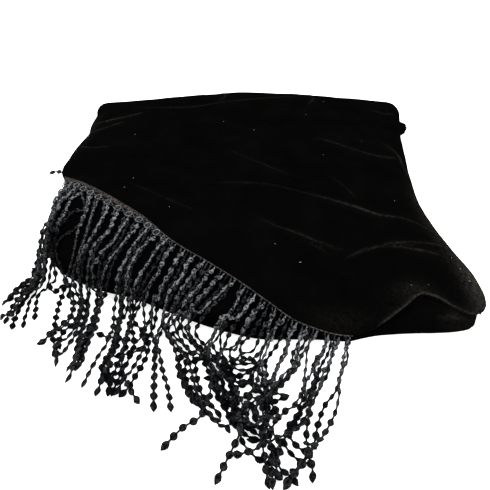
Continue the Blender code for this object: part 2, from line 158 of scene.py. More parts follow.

# Patches of the velvet painted paler, partly dust and rubbed pile and partly painted sheen where the
# cloth turns at its edges: how much shows, the middle (x, y), and the reach in x and y.
DUST_AND_SHEEN_ROWS = (
    (0.75, 217, 345, 12, 48),
    (0.35, 205, 430, 14, 60),
    (0.07, 84, 302, 30, 10),
    (0.13, 150, 318, 18, 9),
    (0.20, -212, 610, 7, 60),
)
LAYERS_DUST_AND_SHEEN = (0.15, 205, 312, 22, 16)

# Where lint lies on the velvet, as (x, y) and the speck's length.
LINT_ROWS = (
    (87, 665, 1.8),
    (-146, 601, 1.6),
    (-133, 463, 2.2),
    (165, 454, 2.0),
    (29, 372, 2.0),
    (52, 352, 2.2),
    (-79, 427, 1.7),
    (97, 544, 1.1),
    (152, 585, 1.1),
    (-127, 485, 1.2),
    (12, 613, 1.0),
    (149, 322, 1.5),
    (166, 325, 1.3),
    (205, 352, 1.6),
    (210, 338, 1.4),
    (201, 366, 1.2),
    (119, 719, 1.2),
    (-30, 640, 0.9),
)

LINT_RADIUS = 0.19

# The fringe, strand by strand from the left end of the hem, the deepest first: the share of the way
# along the hem, how it lies (1 uppermost, 0 below, -1 lowest and pressed down), and the points it
# runs through, seen from above.
STRAND_ROWS = (
    (0.292, -1, -121, 385, -127, 372, -133, 357, -139, 344, -142, 338, -143, 332, -142, 313, -143,
        298, -144, 284, -144, 271, -144, 259),
    (0.373, -1, -102, 372, -109, 358, -114, 346, -115, 337, -116, 331, -118, 313, -117, 296, -117,
        283, -120, 271, -120, 261, -115, 247),
    (0.446, -1, -82, 357, -91, 341, -96, 334, -103, 328, -106, 322, -106, 313, -103, 303, -99, 287,
        -101, 271, -104, 259, -106, 248, -108, 234),
    (0.512, -1, -62, 343, -71, 325, -81, 321, -83, 317, -85, 308, -89, 289, -95, 281, -101, 278,
        -114, 274),
    (0.576, -1, -43, 332, -54, 318, -65, 313, -70, 312, -69, 300, -59, 285, -51, 275, -51, 259, -47,
        245, -41, 236, -36, 228, -32, 223),
    (0.642, -1, -25, 320, -37, 310, -48, 306, -55, 306, -47, 293, -35, 278, -25, 252, -18, 237, -15,
        221, -9, 210, 1, 200, 12, 196),
    (0.708, -1, -5, 304, -14, 297, -19, 296, -22, 293, -21, 282, -17, 267, -13, 253, -11, 242, -7,
        234, -7, 224, 0, 217),
    (0.771, -1, 15, 297, 8, 290, 2, 290, -3, 289, -4, 278, -2, 273, 7, 270, 9, 265, 5, 252, -4, 245,
        -13, 237, -15, 230, -2, 214, 9, 206),
    (0.831, -1, 32, 288, 24, 280, 17, 268, 7, 261, -4, 254, -12, 256, -22, 252, -35, 252),
    (0.889, -1, 52, 285, 46, 277, 41, 259, 32, 249, 22, 239, 18, 227, 18, 219, 21, 219, 24, 224),
    (0.949, -1, 73, 278, 64, 262, 60, 249, 53, 234, 45, 222, 38, 211, 32, 202, 29, 194, 36, 183, 45,
        178),
    (-0.020, 0, -205, 463, -201, 426, -199, 401, -216, 384, -224, 369, -230, 350, -232, 341),
    (-0.012, 0, -200, 439, -198, 406, -210, 379, -211, 369, -216, 340, -217, 321, -215, 305),
    (-0.006, 0, -202, 436, -205, 414, -220, 391, -217, 373, -223, 346, -225, 328, -224, 312),
    (0.018, 0, -198, 454, -197, 428, -197, 407, -203, 370, -208, 367, -213, 356, -216, 337, -221,
        330, -224, 320),
    (0.029, 0, -196, 433, -197, 410, -196, 383, -210, 364, -208, 355, -211, 344, -209, 332, -208,
        320, -205, 307),
    (0.050, 0, -191, 431, -191, 408, -191, 385, -200, 358, -202, 359, -205, 352, -204, 341, -201,
        330, -198, 317),
    (0.061, 0, -168, 426, -179, 425, -186, 414, -189, 399, -194, 388, -189, 364, -194, 362, -195,
        358, -190, 355, -186, 362, -179, 361),
    (0.096, 0, -165, 426, -169, 403, -183, 391, -188, 378, -179, 361, -181, 357, -181, 351, -181,
        340, -179, 324, -177, 312, -175, 301, -172, 291, -166, 281, -164, 272),
    (0.136, 0, -158, 414, -159, 392, -162, 366, -169, 353, -173, 347, -167, 338, -165, 322, -169,
        314, -174, 302, -178, 296, -185, 287),
    (0.179, 0, -146, 406, -151, 387, -156, 367, -158, 353, -159, 344, -158, 325, -161, 311, -166,
        303, -167, 290, -163, 282),
    (0.225, 0, -135, 397, -142, 381, -146, 369, -147, 354, -150, 343, -154, 339, -152, 328, -151,
        303, -150, 287, -148, 272, -149, 261),
    (0.271, 0, -126, 389, -133, 376, -138, 360, -141, 346, -142, 342, -142, 335, -143, 317, -145,
        301, -145, 287, -144, 270, -144, 259),
    (0.313, 0, -116, 381, -122, 369, -127, 353, -134, 338, -141, 333, -141, 319, -140, 305, -141,
        293, -141, 278, -142, 268, -143, 257),
    (0.352, 0, -106, 374, -113, 361, -118, 346, -119, 338, -119, 332, -119, 322, -117, 303, -117,
        287, -119, 276, -122, 264, -117, 250),
    (0.390, 0, -97, 370, -106, 355, -108, 345, -110, 335, -111, 329, -116, 314, -114, 296, -114,
        282, -117, 272, -121, 260, -114, 254, -111, 242),
    (0.425, 0, -87, 362, -97, 345, -99, 337, -106, 330, -106, 321, -108, 311, -107, 301, -106, 284,
        -109, 269, -110, 260, -110, 249, -111, 234),
    (0.459, 0, -78, 353, -85, 337, -92, 332, -100, 326, -104, 319, -103, 313, -96, 306, -87, 292,
        -86, 275, -91, 257, -96, 242, -102, 233),
    (0.491, 0, -67, 346, -76, 328, -86, 323, -88, 319, -91, 311, -95, 294, -105, 291, -114, 292,
        -136, 301),
    (0.523, 0, -56, 340, -66, 323, -75, 316, -75, 312, -77, 302, -79, 290, -80, 280, -77, 260, -75,
        241, -72, 220),
    (0.555, 0, -47, 336, -57, 321, -67, 312, -71, 309, -73, 302, -63, 285, -56, 277, -57, 261, -52,
        249, -48, 241, -43, 232, -38, 227),
    (0.588, 0, -39, 329, -50, 315, -60, 303, -66, 301, -64, 297, -53, 285, -44, 272, -41, 255, -36,
        238, -28, 227, -21, 219, -19, 214),
    (0.621, 0, -32, 323, -42, 312, -52, 306, -61, 307, -55, 297, -41, 282, -32, 261, -26, 248, -23,
        235, -15, 222, -5, 210, 7, 204),
    (0.655, 0, -18, 317, -31, 307, -42, 301, -45, 298, -37, 288, -26, 272, -20, 257, -16, 238, -5,
        219, -3, 198, 3, 188, 12, 180, 24, 179),
    (0.687, 0, -9, 307, -19, 296, -25, 291, -29, 288, -24, 277, -13, 264, -10, 249, -12, 236, -6,
        225, -11, 212, -3, 201),
    (0.719, 0, -1, 301, -9, 295, -12, 292, -17, 288, -23, 269, -18, 256, -8, 247, 2, 246, 7, 254),
    (0.750, 0, 7, 297, -1, 291, -6, 287, -13, 282, -11, 267, -3, 266, 15, 267, 18, 258, 14, 244, 4,
        237, -6, 227, -9, 216, 6, 202, 19, 198),
    (0.780, 0, 23, 297, 17, 292, 10, 284, 5, 279, 0, 278, -5, 275, -10, 263, -20, 256, -27, 247,
        -22, 236, -15, 225),
    (0.810, 0, 26, 291, 18, 286, 10, 275, -3, 265, -13, 264, -23, 268, -34, 268, -46, 271),
    (0.840, 0, 38, 285, 31, 272, 26, 258, 21, 249, 17, 238, 10, 232, 5, 227, 1, 218, -12, 206),
    (0.868, 0, 47, 284, 42, 277, 39, 257, 31, 246, 21, 237, 14, 230, 17, 226, 25, 230, 36, 235),
    (0.898, 0, 56, 284, 50, 277, 43, 259, 34, 250, 24, 236, 20, 227, 25, 219, 21, 207, 12, 196, 1,
        197),
    (0.928, 0, 71, 283, 60, 269, 59, 254, 52, 238, 44, 227, 43, 219, 37, 212, 32, 203, 39, 191, 49,
        185),
    (0.956, 0, 75, 274, 69, 255, 62, 244, 55, 230, 46, 214, 38, 206, 30, 197, 23, 188, 24, 176, 32,
        169, 37, 162),
    (0.983, 0, 89, 272, 81, 257, 74, 239, 63, 225, 56, 209, 49, 187, 39, 177, 31, 167, 27, 160),
    (0.006, 1, -209, 464, -193, 401, -194, 383, -211, 366, -226, 362, -231, 342, -236, 335),
    (0.041, 1, -193, 436, -193, 412, -192, 387, -201, 357, -206, 354, -215, 348, -218, 329, -221,
        319, -230, 317),
    (0.073, 1, -186, 442, -189, 412, -187, 385, -195, 384, -201, 370, -200, 363, -207, 360, -213,
        350, -227, 349, -230, 339),
    (0.108, 1, -163, 428, -165, 410, -168, 393, -167, 372, -171, 360, -177, 357, -171, 349, -165,
        336, -164, 319, -166, 308, -172, 299, -176, 294, -185, 285),
    (0.148, 1, -156, 426, -157, 401, -158, 378, -161, 362, -166, 354, -164, 345, -159, 336, -156,
        323, -157, 309, -160, 298, -163, 287, -167, 279, -163, 271),
    (0.191, 1, -143, 416, -148, 393, -154, 375, -158, 360, -160, 352, -158, 341, -155, 331, -154,
        312, -154, 302, -156, 293, -159, 281, -162, 263),
    (0.237, 1, -132, 408, -136, 386, -148, 374, -149, 356, -150, 349, -151, 342, -150, 338, -149,
        321, -148, 307, -148, 293, -146, 280, -145, 267, -151, 258),
    (0.283, 1, -121, 397, -128, 378, -139, 364, -146, 352, -144, 347, -145, 340, -138, 336, -139,
        320, -141, 306, -145, 294, -143, 273, -143, 265, -146, 255, -149, 247),
    (0.325, 1, -110, 388, -119, 372, -128, 358, -136, 348, -138, 343, -135, 332, -136, 324, -137,
        309, -137, 304, -139, 295, -139, 284, -139, 267, -141, 256),
    (0.364, 1, -101, 380, -110, 366, -116, 350, -120, 341, -122, 329, -124, 324, -122, 306, -124,
        287, -127, 279, -131, 261, -134, 242),
    (0.402, 1, -91, 375, -102, 362, -109, 348, -112, 334, -115, 332, -117, 326, -115, 305, -115,
        285, -115, 270, -116, 255, -119, 248, -121, 234),
    (0.437, 1, -81, 367, -91, 351, -100, 337, -104, 334, -108, 324, -106, 315, -106, 301, -107, 287,
        -107, 276, -104, 260, -97, 245, -84, 227),
    (0.471, 1, -72, 360, -76, 353, -81, 339, -84, 333, -85, 336, -89, 327, -94, 321, -93, 313, -90,
        295, -90, 284, -93, 271, -99, 252, -106, 235),
    (0.503, 1, -61, 355, -69, 340, -77, 325, -81, 319, -83, 324, -85, 318, -86, 303, -79, 284, -77,
        266, -75, 249, -71, 218),
    (0.535, 1, -52, 349, -59, 333, -69, 321, -76, 306, -77, 305, -79, 299, -78, 283, -74, 274, -69,
        257, -63, 241, -58, 220),
    (0.567, 1, -43, 341, -53, 329, -62, 315, -71, 307, -74, 304, -69, 296, -62, 281, -55, 259, -47,
        238, -37, 225, -22, 211, -11, 201),
    (0.600, 1, -32, 336, -42, 323, -54, 312, -65, 301, -72, 300, -68, 293, -55, 277, -48, 267, -43,
        249, -36, 229, -29, 218, -18, 207),
    (0.633, 1, -24, 330, -36, 317, -48, 307, -58, 304, -65, 302, -58, 291, -47, 277, -33, 267, -25,
        252, -22, 239, -10, 226, -6, 222),
    (0.667, 1, -14, 322, -27, 312, -40, 304, -47, 304, -50, 295, -40, 278, -28, 265, -10, 259, 8,
        261, 14, 253, 19, 234, 36, 233),
    (0.699, 1, -4, 314, -11, 301, -22, 294, -32, 289, -35, 281, -30, 264, -27, 250, -29, 230, -33,
        217, -48, 206, -62, 188),
    (0.731, 1, 5, 310, -5, 296, -13, 295, -21, 294, -29, 284, -30, 261, -22, 250, -11, 244, -3, 223,
        1, 206, -8, 192, -21, 163),
    (0.762, 1, 13, 306, 2, 293, -9, 279, -11, 279, -18, 277, -23, 261, -20, 248, -12, 244, 2, 245,
        10, 241, 13, 228, 6, 221, 9, 211, 14, 193),
    (0.792, 1, 24, 298, 21, 290, 19, 283, 14, 275, 12, 262, 9, 242, 4, 234, 13, 223, 14, 211, 13,
        191, 14, 182, 16, 166, 17, 160),
    (0.822, 1, 31, 295, 27, 289, 23, 282, 19, 276, 14, 262, 17, 246, 16, 231, 17, 219, 16, 201, 19,
        193, 19, 177, 19, 158),
    (0.852, 1, 42, 291, 39, 285, 35, 273, 27, 259, 19, 238, 10, 237, 4, 232, 0, 217, -5, 209, -3,
        196),
    (0.880, 1, 51, 289, 47, 281, 44, 269, 39, 256, 32, 250, 23, 237, 17, 225, 8, 220, 15, 204, 19,
        198, 26, 190, 22, 173, 26, 165),
    (0.910, 1, 60, 289, 55, 281, 53, 269, 50, 254, 47, 238, 40, 226, 31, 220, 18, 205, 7, 203, -9,
        206),
    (0.940, 1, 73, 286, 64, 269, 56, 256, 48, 240, 49, 229, 51, 217, 41, 205, 32, 198, 19, 191, 9,
        187, -10, 184),
    (0.968, 1, 76, 274, 71, 263, 66, 256, 60, 238, 54, 233, 49, 215, 46, 198, 46, 181, 48, 175, 47,
        164),
    (0.995, 1, 86, 274, 83, 263, 77, 243, 76, 235, 71, 220, 63, 206, 51, 189, 42, 178, 36, 170, 26,
        158),
)

# The strand that was flipped back under the panel at the left, with its end out in the open.
STRAY_END = ((-204, 505, 44), (-212, 522, 35), (-223, 535, 31), (-235, 541, 31.5), (-247, 540, 30))

# Where the gimp and its heads lie: the share of the way along the hem, and how far the gimp's middle
# is past the velvet's edge there. From 0.44 on only a thin cord shows.
HEADING_ROWS = (
    (-0.10, 3.0),
    (-0.05, 5.0),
    (0.00, 7.0),
    (0.07, 9.0),
    (0.14, 9.6),
    (0.19, 9.4),
    (0.23, 8.8),
    (0.28, 8.0),
    (0.32, 6.8),
    (0.36, 5.2),
    (0.40, 3.8),
    (0.44, 2.6),
    (0.50, 1.0),
    (1.00, 0.5),
)
GIMP_START, GIMP_END = -0.035, 0.455
HEADS = (GIMP_START, 0.0, 0.035, 0.067, 0.102, 0.142, 0.185, 0.231, 0.277, 0.319, 0.358, 0.396, 0.431)
HEAD_PAST_END = 0.465

# The rings of each head: radius, half thickness as a share of the gimp's cord, and tone. Two cords
# swing to and fro between the heads, and pass over each other.
HEAD_RINGS = ((3.3, 0.36, 0.95), (1.1, 0.25, 0.35))
GIMP_SWING, GIMP_RISE = 3.2, 0.45

# The tape: where it starts along the hem, between which shares of the way to the gimp's middle it
# lies, and where along the hem it has all gone under the velvet.
TAPE_START, TAPE_SPAN, TAPE_HIDDEN = -0.05, (-0.1, 0.58), 0.47

# The square cells in which heights over the table are kept, from their first corner.
CELL = 1.2
MAP_CORNER = (-257.0, 130.0)
MAP_CELLS = (300, 350)

# The edges of the folded layers: how far their top stays under the end panel's outer side, the lines
# between them, as shares of their height with the way each wanders, and half a line's width.
UNDER_PANEL = 3.0
LAYER_LINES = ((0.64, 1), (0.30, -1))
LINE_WIDTH = 0.07

# How far the velvet's cut edge rounds out, as a share of its thickness.
EDGE_BULGE = 0.35

# How a strand settles: within ROOT_CLEAR of its root it rests on the cloth alone, within ROOT_HOLD it
# stays level with its root, STEEPEST is its steepest slope, and SINK how far it may sink in.
ROOT_CLEAR, ROOT_HOLD, STEEPEST, SINK = 9.0, 4.0, 1.6, 0.4

# How finely the pieces are made: stations round the layers, points along a crease, a strand and the
# heading, and sides of a lozenge.
LAYER_STATIONS = 760
CREASE_STEPS = 60
STRAND_STEPS = 90
HEADING_STEPS = 420
LOZENGE_SIDES = 8

# Where a lozenge's rings lie along its pitch. The cord runs bare before the second and after the last.
LOZENGE_PHASES = (0.0, 0.14, 0.2, 0.32, 0.5, 0.68, 0.8, 0.86)

# The last lozenge of a strand is a drop with a point: places along it, its half width and half depth.
DROP_PLACES = (0, 0.2, 0.5, 0.75, 1)
DROP_WIDTHS = (0.6, 2.5, 3.2, 1.9, 0.2)
DROP_DEPTHS = (0.6, 1.3, 1.5, 0.9, 0.2)

# How bright a strand is painted, as painted light on the uppermost strands and painted shade on those
# below, and how much of its top is bare cord, by how it lies: -1, 0 or 1.
STRAND_PAINTED_LIGHT = {-1: 0.12, 0: 0.25, 1: 0.85}
STRAND_BARE = {-1: 7.0, 0: 5.0, 1: 2.0}

# The patches in which the velvet's nap leans one way, with their shade against the dye itself, and
# the clumps that crushed pile sticks together in.
NAP_PATCH = 35 * MM
NAP_SHADES = (0.92, 1.85)
CRUSH_CLUMP = 3.03 * MM

# How far beside a crease, in millimetres, its pale line, crushed pile with painted sheen, is
# palest and where that has gone.
CREASE_LINE = (0.2, 2.6)

# Painted glints: bundles of rayon filaments that catch the light are painted into the colour as
# specks.
# They are finer than 0.1 mm on the real cord, too fine to show, so they are drawn this coarse.
GLINT_SPECKS = 1.923 * MM


def linear(code):
    """A linear colour from an sRGB hex code."""
    parts = [int(code[i : i + 2], 16) / 255 for i in (1, 3, 5)]
    return tuple(p / 12.92 if p <= 0.04045 else ((p + 0.055) / 1.055) ** 2.4 for p in parts)


class ClothSizes(bpy.types.PropertyGroup):
    """Sizes and colours of the velvet."""

    wall: FloatProperty(
        name="Cloth thickness",
        description="Velvet with its pile",
        default=1.9 * MM,
        unit="LENGTH",
        precision=4,
    )
    panel_cells: IntProperty(
        name="Panel cells", description="Half the cells across the end panel", default=98
    )
    pile_grain: FloatProperty(
        name="Pile grain",
        description="Size of the tufts that show",
        default=0.9 * MM,
        unit="LENGTH",
        precision=5,
    )
    black: FloatVectorProperty(
        name="Black", description="The velvet's dye", subtype="COLOR", default=linear("#020202")
    )
    # The crushed pile's colour, also used as a painted sheen on creases and edges.
    pale_and_sheen: FloatVectorProperty(
        name="Crushed pile",
        description="Creases and rubbed edges",
        subtype="COLOR",
        default=linear("#272522"),
    )


class FringeSizes(bpy.types.PropertyGroup):
    """Sizes and colours of the lozenge fringe and its heading."""

    lozenge_width: FloatProperty(
        name="Lozenge width",
        description="Across its flat face",
        default=5.8 * MM,
        unit="LENGTH",
        precision=4,
    )
    lozenge_thickness: FloatProperty(
        name="Lozenge thickness",
        description="Through its middle",
        default=2.7 * MM,
        unit="LENGTH",
        precision=4,
    )
    pitch: FloatProperty(
        name="Pitch",
        description="From one lozenge to the next",
        default=9.6 * MM,
        unit="LENGTH",
        precision=4,
    )
    cord: FloatProperty(
        name="Cord",
        description="Diameter between two lozenges",
        default=1.6 * MM,
        unit="LENGTH",
        precision=4,
    )
    gimp_cord: FloatProperty(
        name="Gimp cord",
        description="Diameter of the heading's cords",
        default=1.7 * MM,
        unit="LENGTH",
        precision=4,
    )
    # Light rayon is a painted highlight colour: the fringe is all one black rayon, painted towards
    # this where it lies uppermost and lit.
    light: FloatVectorProperty(
        name="Light rayon",
        description="Lozenges that lie uppermost",
        subtype="COLOR",
        default=linear("#636568"),
    )
    dark: FloatVectorProperty(
        name="Dark rayon",
        description="Lozenges that lie deepest",
        subtype="COLOR",
        default=linear("#020203"),
    )


class StageSizes(bpy.types.PropertyGroup):
    """Where the camera stands, and how bright the studio is."""

    camera_height: FloatProperty(
        name="Camera height", description="Over the table top", default=344 * MM, unit="LENGTH"
    )
    camera_pitch: FloatProperty(
        name="Camera pitch", description="Down from level", default=math.radians(38.5), unit="ROTATION"
    )
    lens: FloatProperty(
        name="Lens", description="On a sensor 36 mm wide", default=36.07, unit="CAMERA"
    )
    softbox: FloatProperty(
        name="Softbox", description="Power of the overhead light", default=30.0, unit="POWER"
    )
    table_glow: FloatProperty(
        name="Table glow", description="Light from below the white table", default=0.6
    )
    sky: FloatProperty(name="Surround", description="Brightness of the white surround", default=1.7)


def node(tree, kind, settings=None, links=None):
    """Adds a node with its settings, and links its inputs to other nodes' outputs."""
    added = tree.nodes.new(kind)
    for name, value in (settings or {}).items():
        if isinstance(name, int) or name in added.inputs:
            added.inputs[name].default_value = value
        else:
            setattr(added, name, value)
    for name, source in (links or {}).items():
        tree.links.new(source, added.inputs[name])
    return added


def new_material(name, **sockets):
    """A material with its shader's own sockets set, and the shader."""
    material = bpy.data.materials.new(name)
    material.use_nodes = True
    shader = material.node_tree.nodes["Principled BSDF"]
    for socket, value in sockets.items():
        shader.inputs[socket.replace("_", " ")].default_value = value
    return material, material.node_tree, shader


def velvet(name, black, pale_and_sheen, grain):
    """Cut-pile velvet: it drinks light, and its crushed or rubbed pile pales to olive brown; these
    pale marks also stand for painted sheen, the glow of velvet at its creases and edges.

    Real tufts are about 0.3 mm apart and too fine to show, so they are drawn as coarse as the grain.
    """
    sockets = {
        "Roughness": 0.92,
        "Specular IOR Level": 0.0,
        "Sheen Weight": 0.001,
        "Sheen Roughness": 0.45,
        "Sheen Tint": (*linear("#b3a88f"), 1),
    }
    material, tree, shader = new_material(name, **sockets)
    place = node(tree, "ShaderNodeTexCoord").outputs["Object"]
    nap = node(
        tree,
        "ShaderNodeTexNoise",
        {"Scale": 1 / NAP_PATCH, "Detail": 4.0, "Roughness": 0.6},
        {"Vector": place},
    )
    tufts = node(tree, "ShaderNodeTexNoise", {"Scale": 0.5 / grain, "Detail": 2.0}, {"Vector": place})
    # Painted sheen: the crease and dust marks pale the base colour for the velvet's glow as well as
    # for crushed pile and dust.
    crush_and_sheen = node(tree, "ShaderNodeAttribute", {"attribute_name": "crease_crush_and_sheen"})
    beside = node(tree, "ShaderNodeAttribute", {"attribute_name": "crease_beside"})
    dust_and_sheen = node(tree, "ShaderNodeAttribute", {"attribute_name": "dust_and_sheen"})
    apart = node(tree, "ShaderNodeMath", {"operation": "ABSOLUTE"}, {0: beside.outputs["Fac"]})
    line = node(
        tree,
        "ShaderNodeMapRange",
        {
            "interpolation_type": "SMOOTHSTEP",
            "From Min": CREASE_LINE[0],
            "From Max": CREASE_LINE[1],
            "To Min": 0.85,
            "To Max": 0.1,
        },
        {"Value": apart.outputs[0]},
    )
    clumps = node(
        tree,
        "ShaderNodeTexNoise",
        {"Scale": 1 / CRUSH_CLUMP, "Detail": 3.0, "Roughness": 0.7},
        {"Vector": place},
    )
    broken = node(
        tree,
        "ShaderNodeMapRange",
        {"From Min": 0.35, "From Max": 0.68, "To Min": 0.15, "To Max": 1.6},
        {"Value": clumps.outputs["Fac"]},
    )
    drawn = node(
        tree,
        "ShaderNodeMath",
        {"operation": "MULTIPLY"},
        {0: line.outputs["Result"], 1: crush_and_sheen.outputs["Fac"]},
    )
    wear_and_sheen = node(
        tree, "ShaderNodeMath", {"operation": "ADD"}, {0: drawn.outputs[0], 1: dust_and_sheen.outputs["Fac"]}
    )
    share = node(
        tree,
        "ShaderNodeMath",
        {"operation": "MULTIPLY"},
        {0: wear_and_sheen.outputs[0], 1: broken.outputs["Result"]},
    )
    shade = node(tree, "ShaderNodeValToRGB", links={"Fac": nap.outputs["Fac"]})
    for element, position, times in zip(shade.color_ramp.elements, (0.3, 0.75), NAP_SHADES):
        element.position = position
        element.color = (*(times * c for c in black), 1)
    colour = node(
        tree,
        "ShaderNodeMix",
        {"data_type": "RGBA", "clamp_factor": True, 7: (*pale_and_sheen, 1)},
        {0: share.outputs[0], 6: shade.outputs["Color"]},
    )
    tree.links.new(colour.outputs[2], shader.inputs["Base Color"])
    lie = node(
        tree,
        "ShaderNodeBump",
        {"Strength": 0.35, "Distance": 0.6 * MM},
        {"Height": nap.outputs["Fac"]},
    )
    bump = node(
        tree,
        "ShaderNodeBump",
        {"Strength": 0.6, "Distance": 0.3 * MM},
        {"Height": tufts.outputs["Fac"], "Normal": lie.outputs["Normal"]},
    )
    tree.links.new(bump.outputs["Normal"], shader.inputs["Normal"])
    return material


def rayon(name, light, dark, thread, roughness=0.34, glint_range=(0.02, 2.25)):
    """Woven rayon: smooth filament threads with a soft lustre; its tone attribute mixes in painted
    light, paler where it lies uppermost, and painted glints.

    The threads run slantwise on the piece's own UV map, thread apart, and the last pair is the least
    and the most painted glint that a bundle of filaments catches.
    """
    sockets = {"Roughness": roughness, "Specular IOR Level": 0.008}
    material, tree, shader = new_material(name, **sockets)
    place = node(tree, "ShaderNodeTexCoord")
    run = node(
        tree,
        "ShaderNodeMapping",
        {"Scale": (1 / thread, 1 / thread, 1.0)},
        {"Vector": place.outputs["UV"]},
    )
    ribs = node(
        tree,
        "ShaderNodeTexWave",
        {"Scale": 0.5, "Distortion": 1.2, "Detail": 1.0, "bands_direction": "DIAGONAL"},
        {"Vector": run.outputs["Vector"]},
    )
    tone_and_painted_light = node(tree, "ShaderNodeAttribute", {"attribute_name": "tone_and_painted_light"})
    glint_noise = node(
        tree,
        "ShaderNodeTexNoise",
        {"Scale": 1 / GLINT_SPECKS, "Detail": 1.5},
        {"Vector": place.outputs["Object"]},
    )
    painted_glints = node(
        tree,
        "ShaderNodeMapRange",
        {"From Min": 0.42, "From Max": 0.64, "To Min": glint_range[0], "To Max": glint_range[1]},
        {"Value": glint_noise.outputs["Fac"]},
    )
    share = node(
        tree,
        "ShaderNodeMath",
        {"operation": "MULTIPLY"},
        {0: painted_glints.outputs["Result"], 1: tone_and_painted_light.outputs["Fac"]},
    )
    colour = node(
        tree,
        "ShaderNodeMix",
        {"data_type": "RGBA", "clamp_factor": True, 6: (*dark, 1), 7: (*light, 1)},
        {0: share.outputs[0]},
    )
    tree.links.new(colour.outputs[2], shader.inputs["Base Color"])
    bump = node(
        tree,
        "ShaderNodeBump",
        {"Strength": 0.5, "Distance": 0.3 * MM},
        {"Height": ribs.outputs["Fac"]},
    )
    tree.links.new(bump.outputs["Normal"], shader.inputs["Normal"])
    return material


def unit(vectors):
    """Vectors along the last axis, each made one long."""
    return vectors / np.maximum(np.linalg.norm(vectors, axis=-1), 1e-9)[..., None]


def walked(line):
    """How far along a line each of its points is."""
    return np.concatenate([[0], np.cumsum(np.linalg.norm(np.diff(line, axis=0), axis=1))])


def levelled(values, width):
    """Values smoothed by a running mean of that odd width."""
    return np.convolve(np.pad(values, width // 2, "edge"), np.ones(width) / width, "valid")


def edge_at(places):
    """The edge table's values at any places along it, on a smooth closed line through its rows."""
    rows = np.array(EDGE_ROWS, float)
    ahead = np.roll(rows, -1, axis=0)
    stride = np.hypot(*(ahead - rows)[:, :2].T)[:, None]
    slope_ahead = (ahead - rows) / stride
    slope_behind = np.roll(slope_ahead, 1, axis=0)
    stride_behind = np.roll(stride, 1, axis=0)
    slope = (slope_ahead * stride_behind + slope_behind * stride) / (stride + stride_behind)
    i = np.floor(places).astype(int) % len(rows)
    j = (i + 1) % len(rows)
    t = (places - np.floor(places))[:, None]
    found = (
        (1 + 2 * t) * (1 - t) ** 2 * rows[i]
        + t * (1 - t) ** 2 * stride[i] * slope[i]
        + t * t * (3 - 2 * t) * rows[j]
        + t * t * (t - 1) * stride[i] * slope[j]
    )
    return dict(zip(EDGE_COLUMNS, found.T))


def even_edge(count):
    """The edge at stations spaced evenly round the pile."""
    fine = np.linspace(0, len(EDGE_ROWS), 200 * len(EDGE_ROWS) + 1)
    values = edge_at(fine)
    reached = walked(np.stack([values["x"], values["y"]], axis=1))
    return edge_at(np.interp(np.arange(count) / count, reached / reached[-1], fine))


def outward(points, spread):
    """Unit vectors, in plan, that point out of an anticlockwise closed line."""
    along_line = np.roll(points, -spread, axis=0) - np.roll(points, spread, axis=0)
    return unit(np.stack([along_line[:, 1], -along_line[:, 0]], axis=1))


def folds_height(x, y):
    """The broad folds' height over the smooth top."""
    total = np.zeros_like(x)
    for x0, y0, x1, y1, height, width in FOLD_ROWS:
        dx, dy = x1 - x0, y1 - y0
        length = math.hypot(dx, dy)
        along_fold = ((x - x0) * dx + (y - y0) * dy) / length**2
        across = ((x - x0) * dy - (y - y0) * dx) / length
        middle = np.clip(1 - (2 * along_fold - 1) ** 2, 0, 1)
        total += height * middle * np.exp(-((across / width * 2) ** 2))
    return total


def along(points, shares):
    """Points at those shares of the way along a line of straight runs."""
    reached = walked(points)
    return np.stack([np.interp(shares, reached / reached[-1], column) for column in points.T], axis=1)


def smooth_line(points, count):
    """A smooth line through points, as count + 1 points evenly along it."""
    ends = np.concatenate([2 * points[:1] - points[1:2], points, 2 * points[-1:] - points[-2:-1]])
    fine = []
    for i in range(1, len(points)):
        a, b, c, d = ends[i - 1 : i + 3]
        for t in np.linspace(0, 1, 12, endpoint=False):
            bend = (2 * a - 5 * b + 4 * c - d) * t * t + (3 * b - a - 3 * c + d) * t**3
            fine.append(0.5 * (2 * b + (c - a) * t + bend))
    fine.append(points[-1])
    return along(np.array(fine), np.linspace(0, 1, count + 1))


def creases(x, y):
    """The fine creases' height, how pale each place is for them, and how far beside the line it is."""
    height = np.zeros_like(x)
    pale_and_sheen = np.zeros_like(x)
    beside = np.full(x.shape, 9.0)
    for rise, width, lightness, numbers in CREASE_ROWS:
        line = smooth_line(np.array(numbers, float).reshape(-1, 2), CREASE_STEPS)
        heading = unit(np.gradient(line, axis=0))
        nearest = np.full(x.shape, 1e9)
        share = np.zeros_like(x)
        side = np.zeros_like(x)
        for k, (point, way) in enumerate(zip(line, heading)):
            dx, dy = x - point[0], y - point[1]
            distance = np.hypot(dx, dy)
            closer = distance < nearest
            share[closer] = k / CREASE_STEPS
            side[closer] = (way[0] * dy - way[1] * dx)[closer]
            nearest = np.minimum(nearest, distance)
        swell = np.clip(np.sin(np.pi * np.clip(share, 0.001, 0.999)), 0, 1) ** 0.6
        uneven = 0.75 + 0.25 * np.sin(11 * share + line[0, 0])
        ridge = np.exp(-((nearest / width) ** 2)) - 0.3 * np.exp(-((nearest / width / 2.4) ** 2))
        height += rise * swell * uneven * ridge
        own = lightness * swell * uneven * np.exp(-((nearest / 5.5) ** 2))
        beside = np.where(own > pale_and_sheen, side, beside)
        pale_and_sheen = np.maximum(pale_and_sheen, own)
    return height, pale_and_sheen, beside


